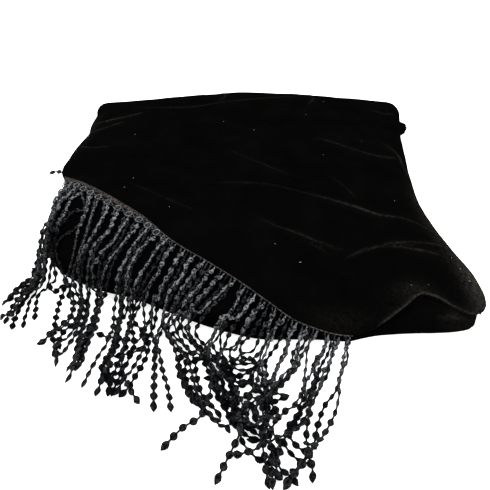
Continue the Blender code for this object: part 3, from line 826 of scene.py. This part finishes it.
def panel_points(edge, out, share, turn):
    """Points of the end panel's outer side, by the share of the way to the edge and of its turn."""
    rim = np.stack([edge["x"], edge["y"]], axis=-1)
    spoke = rim - CROWN
    plan = CROWN + spoke * share[..., None]
    top = edge["top"] - CROWN_HEIGHT
    z = CROWN_HEIGHT + top * share**4 + folds_height(plan[..., 0], plan[..., 1])
    most = np.radians(90 + 30 * np.clip(edge["drop"] / 10, 0, 1))
    depth = edge["drop"] / (1 - np.cos(most))
    past = edge["reach"] * np.sin(turn * most)
    fall = 4 * top / np.linalg.norm(spoke, axis=-1)
    z = z + fall * past - depth * (1 - np.cos(turn * most))
    plan = plan + out * past[..., None]
    return np.concatenate([plan, z[..., None]], axis=-1)


def grid_normals(points):
    """Unit normals of a grid of points, first axis by second axis."""
    return unit(np.cross(np.gradient(points, axis=0), np.gradient(points, axis=1)))


def make_piece(name, points, faces, material, values=None, uv=None):
    """A smooth-shaded mesh piece in the frame, from points in millimetres on the table top."""
    placed = (np.asarray(points, float) - (*MIDDLE, 0)) * MM
    mesh = bpy.data.meshes.new(name)
    mesh.from_pydata(placed.tolist(), [], faces)
    for label, numbers in (values or {}).items():
        attribute = mesh.attributes.new(label, "FLOAT", "POINT")
        attribute.data.foreach_set("value", np.asarray(numbers, np.float32).ravel())
    if uv is not None:
        layer = mesh.uv_layers.new(name="run")
        corners = np.empty(len(mesh.loops), int)
        mesh.loops.foreach_get("vertex_index", corners)
        layer.data.foreach_set("uv", np.asarray(uv, np.float32)[corners].ravel())
    mesh.materials.append(material)
    mesh.shade_smooth()
    mesh.update()
    piece = bpy.data.objects.new(name, mesh)
    bpy.context.scene.collection.objects.link(piece)
    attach(piece, "root")
    return piece


def panel_grid(half):
    """The end panel's outer side on a square grid, as points, unit normals and marks of wear, dust and
    painted sheen.
    """
    count = 8 * half
    edge = even_edge(count)
    rim = np.stack([edge["x"], edge["y"]], axis=1)
    out = outward(rim, 3)
    # Each square ring of the grid becomes a closed line round the pile, the last one its edge.
    i, j = np.meshgrid(np.arange(-half, half + 1), np.arange(-half, half + 1), indexing="ij")
    ring = np.maximum(abs(i), abs(j))
    step = np.select(
        [i == ring, j == ring, i == -ring, j == -ring],
        [j + ring, 3 * ring - i, 5 * ring - j, 7 * ring + i],
    )
    around = step / np.maximum(8 * ring, 1)
    stations = np.arange(count + 1) / count

    def nearest(column):
        return np.interp(around % 1, stations, np.append(column, column[0]))

    near = {name: nearest(edge[name]) for name in EDGE_COLUMNS}
    side = unit(np.stack([nearest(out[:, 0]), nearest(out[:, 1])], axis=-1))
    top_length = np.hypot(near["x"] - CROWN[0], near["y"] - CROWN[1])
    turn_length = 1.15 * np.hypot(near["reach"], near["drop"])
    reached = ring / half * (top_length + turn_length)
    share = np.clip(reached / top_length, 0, 1)
    turn = np.clip((reached - top_length) / turn_length, 0, 1)
    points = panel_points(near, side, share, turn)
    normal = grid_normals(points)
    rise, pale_and_sheen, beside = creases(points[..., 0], points[..., 1])
    rise *= np.clip((half - ring) / 6, 0, 1)
    around_edge = 2 * math.pi * around
    ripple = 0.5 * np.sin(17 * around_edge + 1)
    ripple += 0.4 * np.sin(29 * around_edge) * np.sin(5 * around_edge)
    rise += ripple * np.clip(reached / top_length - 0.93, 0, 0.05) * 14
    points = points + normal * rise[..., None]
    normal = grid_normals(points)
    x, y = points[..., 0], points[..., 1]
    from_edge = (half - ring) * (top_length + turn_length) / half
    # Painted highlight: the turned edge over the front right fold is painted pale in a line of its
    # own, for the sheen of the velvet's edge.
    front = np.clip((x - 116) / 14, 0, 1) * np.clip((352 - y) / 20, 0, 1)
    painted_edge_sheen = 0.95 * front * np.exp(-((from_edge / 5) ** 2))
    beside = np.where(painted_edge_sheen > pale_and_sheen, from_edge - 1.6, beside)
    marks = {"crease_crush_and_sheen": np.maximum(pale_and_sheen, painted_edge_sheen), "crease_beside": beside, "dust_and_sheen": dust_and_sheen_at(x, y)}
    return points, normal, marks


def patch(x, y, much, middle_x, middle_y, wide, deep):
    """How strong a soft-edged patch is at each place."""
    return much * np.exp(-(((x - middle_x) / wide) ** 2) - (((y - middle_y) / deep) ** 2))


def dust_and_sheen_at(x, y):
    """How much dust, rubbed pile and painted sheen shows at each place."""
    return np.clip(sum(patch(x, y, *row) for row in DUST_AND_SHEEN_ROWS), 0, 1)


class StoleEndPanel(bpy.types.Operator):
    """Lays the end panel: a wall of velvet over the pile, turned over its edges."""

    bl_idname = "stole.end_panel"
    bl_label = "End panel"

    def execute(self, context):
        sizes = context.scene.stole_cloth
        half = sizes.panel_cells
        outer, normal, marks = panel_grid(half)
        wall = sizes.wall / MM
        inner = outer - normal * wall
        side = 2 * half + 1
        points = np.concatenate([outer.reshape(-1, 3), inner.reshape(-1, 3)])
        index = np.arange(side * side).reshape(side, side)
        quads = [index[:-1, :-1], index[1:, :-1], index[1:, 1:], index[:-1, 1:]]
        quads = np.stack(quads, axis=-1).reshape(-1, 4)
        under = quads[:, ::-1] + side * side
        # The cut edge runs round the grid's four sides, and a row of points between rounds it.
        loop = np.concatenate([index[:-1, 0], index[-1, :-1], index[:0:-1, -1], index[0, :0:-1]])
        ahead_of = np.roll(loop, -1)
        middle = (points[loop] + points[loop + side * side]) / 2
        away = outer.reshape(-1, 3)[loop] - np.concatenate(
            [outer[:-1, 1], outer[-2, :-1], outer[:0:-1, -2], outer[1, :0:-1]]
        )
        bulge = middle + unit(away) * wall * EDGE_BULGE
        first = len(points)
        rim = first + np.arange(len(loop))
        rim_ahead = np.roll(rim, -1)
        upper = np.stack([ahead_of, loop, rim, rim_ahead], axis=1)
        lower = np.stack([rim_ahead, rim, loop + side * side, ahead_of + side * side], axis=1)
        points = np.concatenate([points, bulge])
        faces = np.concatenate([quads, under, upper, lower]).tolist()
        flat = {name: mark.ravel() for name, mark in marks.items()}
        values = {name: np.concatenate([mark, mark, mark[loop]]) for name, mark in flat.items()}
        material = velvet("black_cut_pile_velvet", sizes.black, sizes.pale_and_sheen, sizes.pile_grain)
        piece = make_piece("end_panel_velvet", points, faces, material, values)
        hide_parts("top_panel")
        return {"FINISHED"}


def layer_rings(count):
    """Rings of the folded layers, from under the end panel down to the table and in below."""
    edge = even_edge(count)
    rim = np.stack([edge["x"], edge["y"]], axis=1)
    out = outward(rim, 3)
    foot = np.stack([edge["foot_x"], edge["foot_y"]], axis=1)
    foot_out = outward(foot, 3)
    rings = []
    whole = np.ones(count)
    stops = [(share, 0) for share in (0.25, 0.5, 0.7, 0.85, 0.95, 1.0)]
    stops += [(1, turn) for turn in (0.35, 0.7, 1.0)]
    for share, turn in stops:
        ring = panel_points(edge, out, whole * share, whole * turn)
        inside = panel_points(edge, out, whole * max(share - 0.02, 0), whole * max(turn - 0.05, 0))
        across = np.cross(ring - inside, np.roll(ring, -1, axis=0) - np.roll(ring, 1, axis=0))
        rings.append(ring - UNDER_PANEL * unit(across))
    # From the panel's underside the layers slope down to where their edge begins to round over.
    start = rings[-1]
    groove = edge["groove"][:, None]
    line = start[:, :2] - foot_out * groove
    line_z = start[:, 2] - 0.3 * edge["groove"]
    roll = 0.55 * edge["shoulder"]
    length = np.maximum(np.linalg.norm(foot - line, axis=1), 0.5)
    share = np.maximum(0.2, 1 - roll / length)[:, None]
    shoulder = line + (foot - line) * share
    shoulder_z = np.minimum(edge["shoulder"], line_z - 0.6)
    walk = 2 * math.pi * np.arange(count) / count
    wander = 0.05 * np.sin(5 * walk + 1) + 0.03 * np.sin(13 * walk)
    for t in np.linspace(0, 1, 15)[:-1]:
        swell = 1.6 * math.sin(math.pi * t) * np.clip(length / 60, 0, 1)
        plan = line + (shoulder - line) * t
        rings.append(np.column_stack([plan, line_z + (shoulder_z - line_z) * t + swell]))
    # The edge rounds over to the table, with a notch at each line between two layers.
    for degrees in range(0, 181, 10):
        turn = math.radians(degrees)
        height = 0.5 + 0.5 * math.cos(turn)
        tuck = 0.45 * max(degrees / 90 - 1, 0) ** 2 * roll
        lines = [(height - place - way * wander) / LINE_WIDTH for place, way in LAYER_LINES]
        notch = edge["groove"] * 1.5 * sum(np.exp(-(offset**2)) for offset in lines)
        reach = math.sin(min(turn, math.pi / 2))
        plan = shoulder + (foot - shoulder) * reach - foot_out * (tuck + notch)[:, None]
        rings.append(np.column_stack([plan, shoulder_z * height]))
    return np.array(rings)


class StoleLayers(bpy.types.Operator):
    """Stacks the folded layers under the end panel, with the lines between them at the edges."""

    bl_idname = "stole.layers"
    bl_label = "Folded layers"

    def execute(self, context):
        sizes = context.scene.stole_cloth
        rings = layer_rings(LAYER_STATIONS)
        number, count = rings.shape[:2]
        top = np.array([[*CROWN, CROWN_HEIGHT - 4]])
        bottom = np.array([[*CROWN, 0]])
        points = np.concatenate([top, rings.reshape(-1, 3), bottom])
        index = 1 + np.arange(number * count).reshape(number, count)
        ahead = np.roll(index, -1, axis=1)
        quads = np.stack([index[:-1], index[1:], ahead[1:], ahead[:-1]], axis=-1)
        faces = quads.reshape(-1, 4).tolist()
        faces += [(0, int(a), int(b)) for a, b in zip(index[0], ahead[0])]
        faces += [(int(b), int(a), len(points) - 1) for a, b in zip(index[-1], ahead[-1])]
        x, y, z = points.T
        # Crushed pile and painted sheen: a pale line along the lower layer's fold at the front right.
        lower_fold_crush_and_sheen = 0.28 * np.clip((x - 168) / 12, 0, 1) * np.clip((338 - y) / 15, 0, 1)
        marks = {
            "dust_and_sheen": patch(x, y, *LAYERS_DUST_AND_SHEEN),
            "crease_crush_and_sheen": lower_fold_crush_and_sheen * np.exp(-(((z - 17) / 6) ** 2)),
            "crease_beside": z - 21 + 0.12 * (x - 180),
        }
        material = velvet("black_velvet_layers", sizes.black, sizes.pale_and_sheen, sizes.pile_grain)
        piece = make_piece("layers_velvet", points, faces, material, marks)
        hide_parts("folded_layers")
        return {"FINISHED"}


def hem_line(count=400):
    """The hem, left to right: its edge, the way ahead of it in the cloth, and the cloth's normal."""
    places = np.linspace(HEM_FIRST_ROW - 2.2, HEM_LAST_ROW, count)
    edge = edge_at(places)
    rim = np.stack([edge["x"], edge["y"]], axis=1)
    tangent = np.gradient(rim, axis=0)
    out = unit(np.stack([levelled(tangent[:, 1], 15), -levelled(tangent[:, 0], 15)], axis=1))
    whole = np.ones(count)
    last = panel_points(edge, out, whole, whole)
    before = panel_points(edge, out, whole, whole * 0.75)
    ahead = unit(last - before)
    normal = unit(np.cross(ahead, np.gradient(last, axis=0)))
    start = int(np.argmax(places >= HEM_FIRST_ROW))
    reached = walked(last)
    at = (reached - reached[start]) / (reached[-1] - reached[start])
    return {"at": at, "edge": last, "ahead": ahead, "normal": normal}


def on_hem(hem, at, name):
    """A hem value at shares of the way along it."""
    return np.stack([np.interp(at, hem["at"], column) for column in hem[name].T], axis=-1)


def tube(line, wide, thick, flat_way, sides):
    """Points, faces and run of a closed tube whose section is an oval with its wide way given."""
    heading = unit(np.gradient(line, axis=0))
    flat_way = unit(flat_way - (flat_way * heading).sum(axis=1)[:, None] * heading)
    up_way = np.cross(heading, flat_way)
    angle = 2 * math.pi * np.arange(sides) / sides
    rings = (
        line[:, None]
        + (wide[:, None] * np.cos(angle))[..., None] * flat_way[:, None]
        + (thick[:, None] * np.sin(angle))[..., None] * up_way[:, None]
    )
    count = len(line)
    points = np.concatenate([rings.reshape(-1, 3), line[:1], line[-1:]])
    index = np.arange(count * sides).reshape(count, sides)
    beside = np.roll(index, -1, axis=1)
    faces = np.stack([index[:-1], beside[:-1], beside[1:], index[1:]], axis=-1).reshape(-1, 4).tolist()
    first, last = count * sides, count * sides + 1
    faces += [(first, int(b), int(a)) for a, b in zip(index[0], beside[0])]
    faces += [(last, int(a), int(b)) for a, b in zip(index[-1], beside[-1])]
    reached = walked(line)
    run = np.stack([np.repeat(reached, sides), np.tile(angle / (2 * math.pi) * 8, count)], axis=1)
    run = np.concatenate([run, [[0, 0]], [[reached[-1], 0]]]) * MM
    return points, faces, run


class Bundle:
    """Tubes gathered into one mesh, each with its own tone, which on the fringe carries painted light
    and shade.
    """

    def __init__(self):
        self.points, self.faces, self.runs, self.tones = [], [], [], []
        self.count = 0

    def add(self, points, faces, run, tone_and_painted_light):
        """Adds one tube with a tone for each of its points, or one tone for all."""
        self.faces += [tuple(self.count + i for i in face) for face in faces]
        self.points.append(points)
        self.runs.append(run)
        self.tones.append(np.broadcast_to(tone_and_painted_light, len(points)))
        self.count += len(points)

    def make(self, name, material):
        """The gathered tubes as one piece."""
        points, runs = np.concatenate(self.points), np.concatenate(self.runs)
        values = {"tone_and_painted_light": np.concatenate(self.tones)}
        return make_piece(name, points, self.faces, material, values, runs)


def surface_of(piece):
    """A piece's faces, ready for rays."""
    mesh = piece.data
    return BVHTree.FromPolygons([v.co for v in mesh.vertices], [p.vertices for p in mesh.polygons])


def top_at(surface, x, y):
    """The height of a surface over a place on the table top, or None beside it."""
    above = Vector(((x - MIDDLE[0]) * MM, (y - MIDDLE[1]) * MM, 1))
    hit = surface.ray_cast(above, Vector((0, 0, -1)))[0]
    return None if hit is None else hit.z / MM


def height_map(piece):
    """The height of a piece over the table, in square cells, each as high as the highest beside it."""
    surface = surface_of(piece)
    heights = np.zeros(MAP_CELLS)
    for i, j in np.ndindex(MAP_CELLS):
        x, y = MAP_CORNER[0] + (i + 0.5) * CELL, MAP_CORNER[1] + (j + 0.5) * CELL
        heights[i, j] = top_at(surface, x, y) or 0
    spread = heights.copy()
    for dx in (-1, 0, 1):
        for dy in (-1, 0, 1):
            spread = np.maximum(spread, np.roll(heights, (dx, dy), axis=(0, 1)))
    return spread


def past_hem(hem, surface, at, past, lift):
    """The point on the layers that is so far past the velvet's edge, in plan, and lifted so much."""
    edge, ahead = on_hem(hem, at, "edge"), on_hem(hem, at, "ahead")
    out = ahead[:2] / np.linalg.norm(ahead[:2])
    x, y = edge[:2] + out * past
    height = top_at(surface, x, y) or 0
    return np.array([x, y, max(height, edge[2] - 1.2 * past - 4) + lift])


def heading_line(hem, surface, samples, share, lift):
    """A line along the hem, at a share of the way from the velvet's edge to the gimp's middle."""
    past = share * np.interp(samples, *np.array(HEADING_ROWS).T)
    line = np.array([past_hem(hem, surface, *place, lift) for place in zip(samples, past)])
    line[:, 2] = levelled(line[:, 2], 9)
    return line


def strand_plans(hem, surface):
    """Each strand's root, its line in plan and how it lies, the deepest first."""
    plans = []
    for at, level, *numbers in STRAND_ROWS:
        bare = np.clip((at - 0.4) / 0.08, 0, 1)
        past = np.interp(at, *np.array(HEADING_ROWS).T) + 2.2 * (1 - bare)
        root = past_hem(hem, surface, at, past, 0.9)
        edge, ahead, normal = (on_hem(hem, at, name) for name in ("edge", "ahead", "normal"))
        root = root * (1 - bare) + (edge + 0.4 * ahead - 0.9 * normal) * bare
        points = np.array(numbers, float).reshape(-1, 2)
        far = np.linalg.norm(points - root[:2], axis=1) > 7
        plans.append((root, np.vstack([root[:2], points[far]]), level))
    return plans


def lay(root, plan, heights, bed, half_height, bears):
    """A strand's points, laid over all that the height map holds, which then holds it if it bears."""
    low = np.array(MAP_CORNER)
    cell = ((plan - low) / CELL).astype(int)
    distance = np.hypot(*(plan - root[:2]).T)
    i, j = cell.T
    under = np.where(distance < ROOT_CLEAR, bed[i, j], heights[i, j])
    need = under + half_height
    need[0] = root[2]
    step = np.hypot(*np.diff(plan, axis=0).T)
    for order in (range(1, len(plan)), range(len(plan) - 2, -1, -1)):
        for k in order:
            beside = k - 1 if order.start == 1 else k + 1
            need[k] = max(need[k], need[beside] - STEEPEST * step[min(k, beside)])
    held = distance < ROOT_HOLD
    need[held] = np.minimum(need[held], root[2] + 0.5)
    z = need.copy()
    z[0] = root[2]
    for _ in range(3):
        z[1:-1] = np.maximum((z[:-2] + 2 * z[1:-1] + z[2:]) / 4, need[1:-1] - SINK)
    if bears:
        for (i, j), height, half in zip(cell, z, half_height):
            window = heights[i - 2 : i + 3, j - 2 : j + 3]
            np.maximum(window, height + 0.75 * half, out=window)
    return np.column_stack([plan, z])


class StoleFringe(bpy.types.Operator):
    """Hangs the fringe: strands of woven lozenges, each laid over those laid before it."""

    bl_idname = "stole.fringe"
    bl_label = "Lozenge fringe"

    def execute(self, context):
        sizes = context.scene.stole_fringe
        wide, thick = sizes.lozenge_width / MM, sizes.lozenge_thickness / MM
        chance = random.Random(11)
        hem = hem_line()
        layers = surface_of(bpy.data.objects["layers_velvet"])
        bed = height_map(bpy.data.objects["layers_velvet"])
        heights = np.maximum(bed, height_map(bpy.data.objects["end_panel_velvet"]))
        bundle = Bundle()
        for root, route, level in strand_plans(hem, layers):
            # An upper strand starts flat side up, the others start any way, and each rolls as it goes.
            plan = smooth_line(route, STRAND_STEPS)
            shares = np.linspace(0, 1, len(plan))
            twist = chance.uniform(-0.8, 0.8) if level > 0 else chance.uniform(0, math.pi)
            turns = chance.uniform(0.6, 1.8)
            swing = 1.7 * np.clip(0.15 + 2 * shares, 0, 1)
            roll = twist + swing * np.sin(2 * math.pi * turns * shares + chance.uniform(0, 6))
            tilt = np.arcsin(np.sin(roll) * np.interp(shares, [0, 0.45, 0.65], [0.97, 0.95, 0.55]))
            half = np.hypot(wide / 2 * np.sin(tilt) * 0.7, thick / 2 * np.cos(tilt))
            laid = lay(root, plan, heights, bed, half + 0.2, level >= 0)
            # Painted light: uppermost strands are painted brighter, and the ones below darker, as in
            # shade.
            strand_painted_light = STRAND_PAINTED_LIGHT[level] * chance.uniform(0.7, 1.2)
            bundle.add(*self.strand(sizes, laid, tilt, STRAND_BARE[level], strand_painted_light))
        stray = smooth_line(np.array(STRAY_END, float), 40)
        bundle.add(*self.strand(sizes, stray, np.full(len(stray), 0.5), 2.0, 0.5))
        material = rayon("woven_rayon_lozenge", sizes.light, sizes.dark, 0.7 * MM)
        piece = bundle.make("lozenge_fringe", material)
        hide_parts("end_fringe")
        return {"FINISHED"}

    def strand(self, sizes, laid, tilt, bare, strand_painted_light):
        """One strand of lozenges along a laid line, bare at first, as points, faces, run and tone."""
        pitch, cord = sizes.pitch / MM, sizes.cord / MM
        wide, thick = sizes.lozenge_width / MM, sizes.lozenge_thickness / MM
        shares = np.linspace(0, 1, len(laid))
        length = walked(laid)[-1]
        number = max(4, round(length / pitch))
        phase = np.append(np.tile(LOZENGE_PHASES, number), 0.0)
        lead = bare / length
        whole = np.append(np.repeat(np.arange(number), len(LOZENGE_PHASES)), number)
        reached = lead + (1 - lead) * (whole + phase) / number
        count = (reached - lead) / (1 - lead) * number
        reached[0] = 0
        slim = np.interp(reached, [0, 0.5, 0.65], [1.25, 1.15, 0.7])
        bead = np.sin(np.pi * np.clip((phase - 0.14) / 0.72, 0, 1)) ** slim
        line = along(laid, reached)
        own = np.interp(reached, [0, 0.5, 0.65], [0.86, 0.88, 1.12])
        own += 0.07 * np.sin(np.floor(count) * 2.4 + length)
        width = cord / 2 + (wide / 2 * own - cord / 2) * bead
        depth = cord / 2 + (thick / 2 - cord / 2) * bead
        # The last lozenge is the drop.
        drop = count > number - 0.97
        point = np.clip(count - (number - 0.97), 0, 1)
        width[drop] = np.interp(point[drop], DROP_PLACES, DROP_WIDTHS)
        depth[drop] = np.interp(point[drop], DROP_PLACES, DROP_DEPTHS)
        way = np.interp(reached, shares, tilt)
        heading = unit(np.gradient(line, axis=0))
        level = unit(np.cross(heading, [0, 0, 1.0]))
        above = np.cross(level, heading)
        flat_way = level * np.cos(way)[:, None] + above * np.sin(way)[:, None]
        points, faces, run = tube(line, width, depth, flat_way, LOZENGE_SIDES)
        # Painted light and shade: the fringe is painted palest by the hem, where the light falls, and
        # darker lower down and where it lies on the table.
        painted_falloff = np.interp(reached * length, [0, 40, 80, 130], [1.0, 0.66, 0.17, 0.12])
        painted_falloff *= np.interp(line[:, 2], [4, 20], [0.55, 1.0])
        # Painted highlight: each lozenge is painted paler at its edges than in the middle of its flat
        # faces, and paler than the bare cord between.
        face = np.sin(2 * math.pi * np.arange(LOZENGE_SIDES) / LOZENGE_SIDES) ** 2
        ring = 1.12 - 0.6 * np.outer(bead**4, face)
        tone_and_painted_light = ((strand_painted_light * painted_falloff * (0.6 + 0.4 * bead))[:, None] * ring).ravel()
        return points, faces, run, np.clip(np.append(tone_and_painted_light, [tone_and_painted_light[0], tone_and_painted_light[-1]]), 0, 1)


class StoleHeading(bpy.types.Operator):
    """Sews the heading: a flat tape on the hem, and a gimp of looped cord that carries the strands."""

    bl_idname = "stole.heading"
    bl_label = "Tape and gimp heading"

    def execute(self, context):
        sizes = context.scene.stole_fringe
        hem = hem_line()
        layers = surface_of(bpy.data.objects["layers_velvet"])
        cord = sizes.gimp_cord / MM
        tape = self.tape(hem, layers)
        bundle = Bundle()
        samples = np.linspace(GIMP_START, GIMP_END, HEADING_STEPS)
        middle = heading_line(hem, layers, samples, 1.0, 1.1)
        across = unit(middle - heading_line(hem, layers, samples, 0.75, 1.1))
        forward = unit(np.gradient(middle, axis=0))
        normal = np.cross(across, forward)
        normal *= np.sign(normal[:, 2:])
        heads = np.array([*HEADS, HEAD_PAST_END])
        count = np.interp(samples, heads, np.arange(len(heads)))
        for side in (1, -1):
            swing = GIMP_SWING * side * np.cos(math.pi * count)
            rise = GIMP_RISE * side * np.sin(math.pi * count)
            line = middle + across * swing[:, None] + normal * rise[:, None]
            whole = np.full(len(line), 0.36 * cord)
            bundle.add(*tube(line, whole, whole, normal, 6), 0.3)
        for at in HEADS:
            i = int(np.argmin(abs(samples - at)))
            turn = np.linspace(0, 2 * math.pi, 17)
            for radius, thick, tone_and_painted_light in HEAD_RINGS:
                loop = np.outer(np.cos(turn), across[i]) + np.outer(np.sin(turn), forward[i])
                line = middle[i] + normal[i] * 0.8 + radius * loop
                whole = np.full(len(turn), thick * cord)
                facing = np.broadcast_to(normal[i], line.shape)
                bundle.add(*tube(line, whole, whole, facing, 6), tone_and_painted_light)
        # Painted glints: twisted cord gets more even painted glints than a lozenge, because no flat
        # face turns away.
        material = rayon("looped_rayon_gimp", sizes.light, sizes.dark, 0.6 * MM, 0.42, (0.4, 1.5))
        gimp = bundle.make("gimp_heading", material)
        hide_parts("end_fringe")
        # What shows of the cloth is one end of the stole, about as long as the pile is wide.
        return {"FINISHED"}

    def tape(self, hem, layers):
        """The flat tape along the hem: it shows at the left, and runs on as a pale line."""
        samples = np.linspace(TAPE_START, 1.0, HEADING_STEPS)
        inner, outer = (heading_line(hem, layers, samples, share, 0.9) for share in TAPE_SPAN)
        ahead, normal = on_hem(hem, samples, "ahead"), on_hem(hem, samples, "normal")
        start = on_hem(hem, samples, "edge") + 0.3 * ahead - 0.1 * normal
        shown = np.clip((TAPE_HIDDEN - samples) / 0.12, 0, 1)[:, None]
        line = (inner + outer) / 2 * shown + start * (1 - shown)
        wide = np.linalg.norm(outer - inner, axis=1) / 2 * shown[:, 0] + 0.55 * (1 - shown[:, 0])
        thick = 0.6 + 0.15 * shown[:, 0]
        points, faces, run = tube(line, wide, thick, outer - inner, 8)
        light, dark = linear("#5b5552"), linear("#060606")
        # Satin worn along its turned edge gives a thin brownish grey line.
        # The satin gets the rayon material's painted glints too.
        material = rayon("turned_satin_tape", light, dark, 0.5 * MM, 0.5, (0.25, 1.7))
        bundle = Bundle()
        tone_and_painted_light = np.repeat(0.37 - 0.1 * shown[:, 0], 8)
        bundle.add(points, faces, run, np.append(tone_and_painted_light, tone_and_painted_light[[0, -1]]))
        piece = bundle.make("hem_tape", material)
        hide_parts("end_fringe")
        return piece


class StoleLint(bpy.types.Operator):
    """Drops specks of pale lint on the velvet."""

    bl_idname = "stole.lint"
    bl_label = "Lint"

    def execute(self, context):
        chance = random.Random(3)
        surface = surface_of(bpy.data.objects["end_panel_velvet"])
        bundle = Bundle()
        for x, y, length in LINT_ROWS:
            top = top_at(surface, x, y)
            if top is None:
                raise RuntimeError(f"no velvet under the lint at {x}, {y}")
            heading = chance.uniform(0, math.pi)
            t = np.linspace(-0.5, 0.5, 7)
            bend = chance.uniform(-0.5, 0.5)
            line = np.stack(
                [
                    x + length * (t * math.cos(heading) + bend * t * t * math.sin(heading)),
                    y + length * (t * math.sin(heading) - bend * t * t * math.cos(heading)),
                    top + 0.3 + 0.15 * np.cos(3 * t),
                ],
                axis=1,
            )
            thick = LINT_RADIUS * np.sqrt(np.clip(1 - (2 * t) ** 2, 0.1, 1))
            level = np.broadcast_to([0, 0, 1.0], line.shape)
            bundle.add(*tube(line, thick, thick, level, 6), chance.uniform(0.3, 0.75))
        # Loose cotton fibre is matt, and pale enough to read as dots on the black.
        # The lint gets the rayon material's painted glints too.
        material = rayon("cotton_lint", linear("#a9a9a4"), linear("#66645f"), 0.4 * MM, 0.9)
        bundle.make("lint_specks", material)
        return {"FINISHED"}


class StoleStage(bpy.types.Operator):
    """Sets the pale floor, the soft lights and the camera."""

    bl_idname = "stole.stage"
    bl_label = "Stage"

    def execute(self, context):
        sizes = context.scene.stole_stage
        bpy.ops.object.select_all(action="DESELECT")
        bpy.ops.mesh.primitive_plane_add(size=12, location=(0, 0, 0))
        floor = context.object
        floor.name = "studio_floor"
        # A sanded sheet with light below it is an even white, with hardly a shadow.
        sockets = {"Roughness": 0.9, "Specular IOR Level": 0.1}
        material, tree, shader = new_material("lit_white_acrylic", **sockets)
        place = node(tree, "ShaderNodeTexCoord").outputs["Object"]
        tooth = node(tree, "ShaderNodeTexNoise", {"Scale": 900.0, "Detail": 2.0}, {"Vector": place})
        shade = node(tree, "ShaderNodeValToRGB", links={"Fac": tooth.outputs["Fac"]})
        shade.color_ramp.elements[0].color = (*linear("#f6f6f5"), 1)
        shade.color_ramp.elements[1].color = (*linear("#fcfcfc"), 1)
        tree.links.new(shade.outputs["Color"], shader.inputs["Base Color"])
        shader.inputs["Emission Color"].default_value = (*linear("#ffffff"), 1)
        shader.inputs["Emission Strength"].default_value = sizes.table_glow
        floor.data.materials.append(material)
        for name, place, aim, size, power in (
            ("softbox_overhead", (0.1, 0.5, 1.5), (0, 0, 0), 1.6, sizes.softbox),
            ("softbox_front", (-0.9, -1.3, 1.0), (0, 0, 0), 1.2, 0.35 * sizes.softbox),
        ):
            bpy.ops.object.light_add(type="AREA", location=place)
            lamp = context.object
            lamp.name = name
            lamp.rotation_euler = (Vector(aim) - Vector(place)).to_track_quat("-Z", "Y").to_euler()
            lamp.data.size = size
            lamp.data.energy = power
        world = context.scene.world or bpy.data.worlds.new("surround")
        context.scene.world = world
        world.use_nodes = True
        backdrop = world.node_tree.nodes["Background"]
        backdrop.inputs["Color"].default_value = (*linear("#ffffff"), 1)
        backdrop.inputs["Strength"].default_value = sizes.sky
        context.scene.view_settings.view_transform = "Standard"
        place = (-MIDDLE[0] * MM, -MIDDLE[1] * MM, sizes.camera_height)
        tilt = math.pi / 2 - sizes.camera_pitch
        bpy.ops.object.camera_add(location=place, rotation=(tilt, 0, 0))
        camera = context.object
        camera.name = "photograph_camera"
        camera.data.sensor_width = 36.0
        camera.data.lens = sizes.lens
        camera.data.clip_start = 0.01
        context.scene.camera = camera
        return {"FINISHED"}


STEPS = (StoleLayers, StoleEndPanel, StoleFringe, StoleLint, StoleHeading, StoleStage)


class StolePanel(bpy.types.Panel):
    """Lists the stole's pieces and their sizes."""

    bl_idname = "VIEW3D_PT_stole"
    bl_label = "Velvet stole"
    bl_space_type = "VIEW_3D"
    bl_region_type = "UI"
    bl_category = "Stole"

    def draw(self, context):
        for step in STEPS:
            self.layout.operator(step.bl_idname)
        for group in (getattr(context.scene, name) for name in GROUPS):
            box = self.layout.box()
            for name in group.bl_rna.properties.keys():
                if name not in ("rna_type", "name"):
                    box.prop(group, name)


CLASSES = (ClothSizes, FringeSizes, StageSizes, *STEPS, StolePanel)
GROUPS = {"stole_cloth": ClothSizes, "stole_fringe": FringeSizes, "stole_stage": StageSizes}


def register():
    """Registers the classes and gives the scene its sizes."""
    for kind in CLASSES:
        bpy.utils.register_class(kind)
    for name, kind in GROUPS.items():
        setattr(bpy.types.Scene, name, PointerProperty(type=kind))


def unregister():
    """Takes the sizes and the classes away again."""
    for name in GROUPS:
        delattr(bpy.types.Scene, name)
    for kind in reversed(CLASSES):
        bpy.utils.unregister_class(kind)


def main():
    """Registers the classes and makes every piece in order."""
    register()
    for step in STEPS:
        group, name = step.bl_idname.split(".")
        getattr(getattr(bpy.ops, group), name)()


if __name__ == "__main__":
    main()
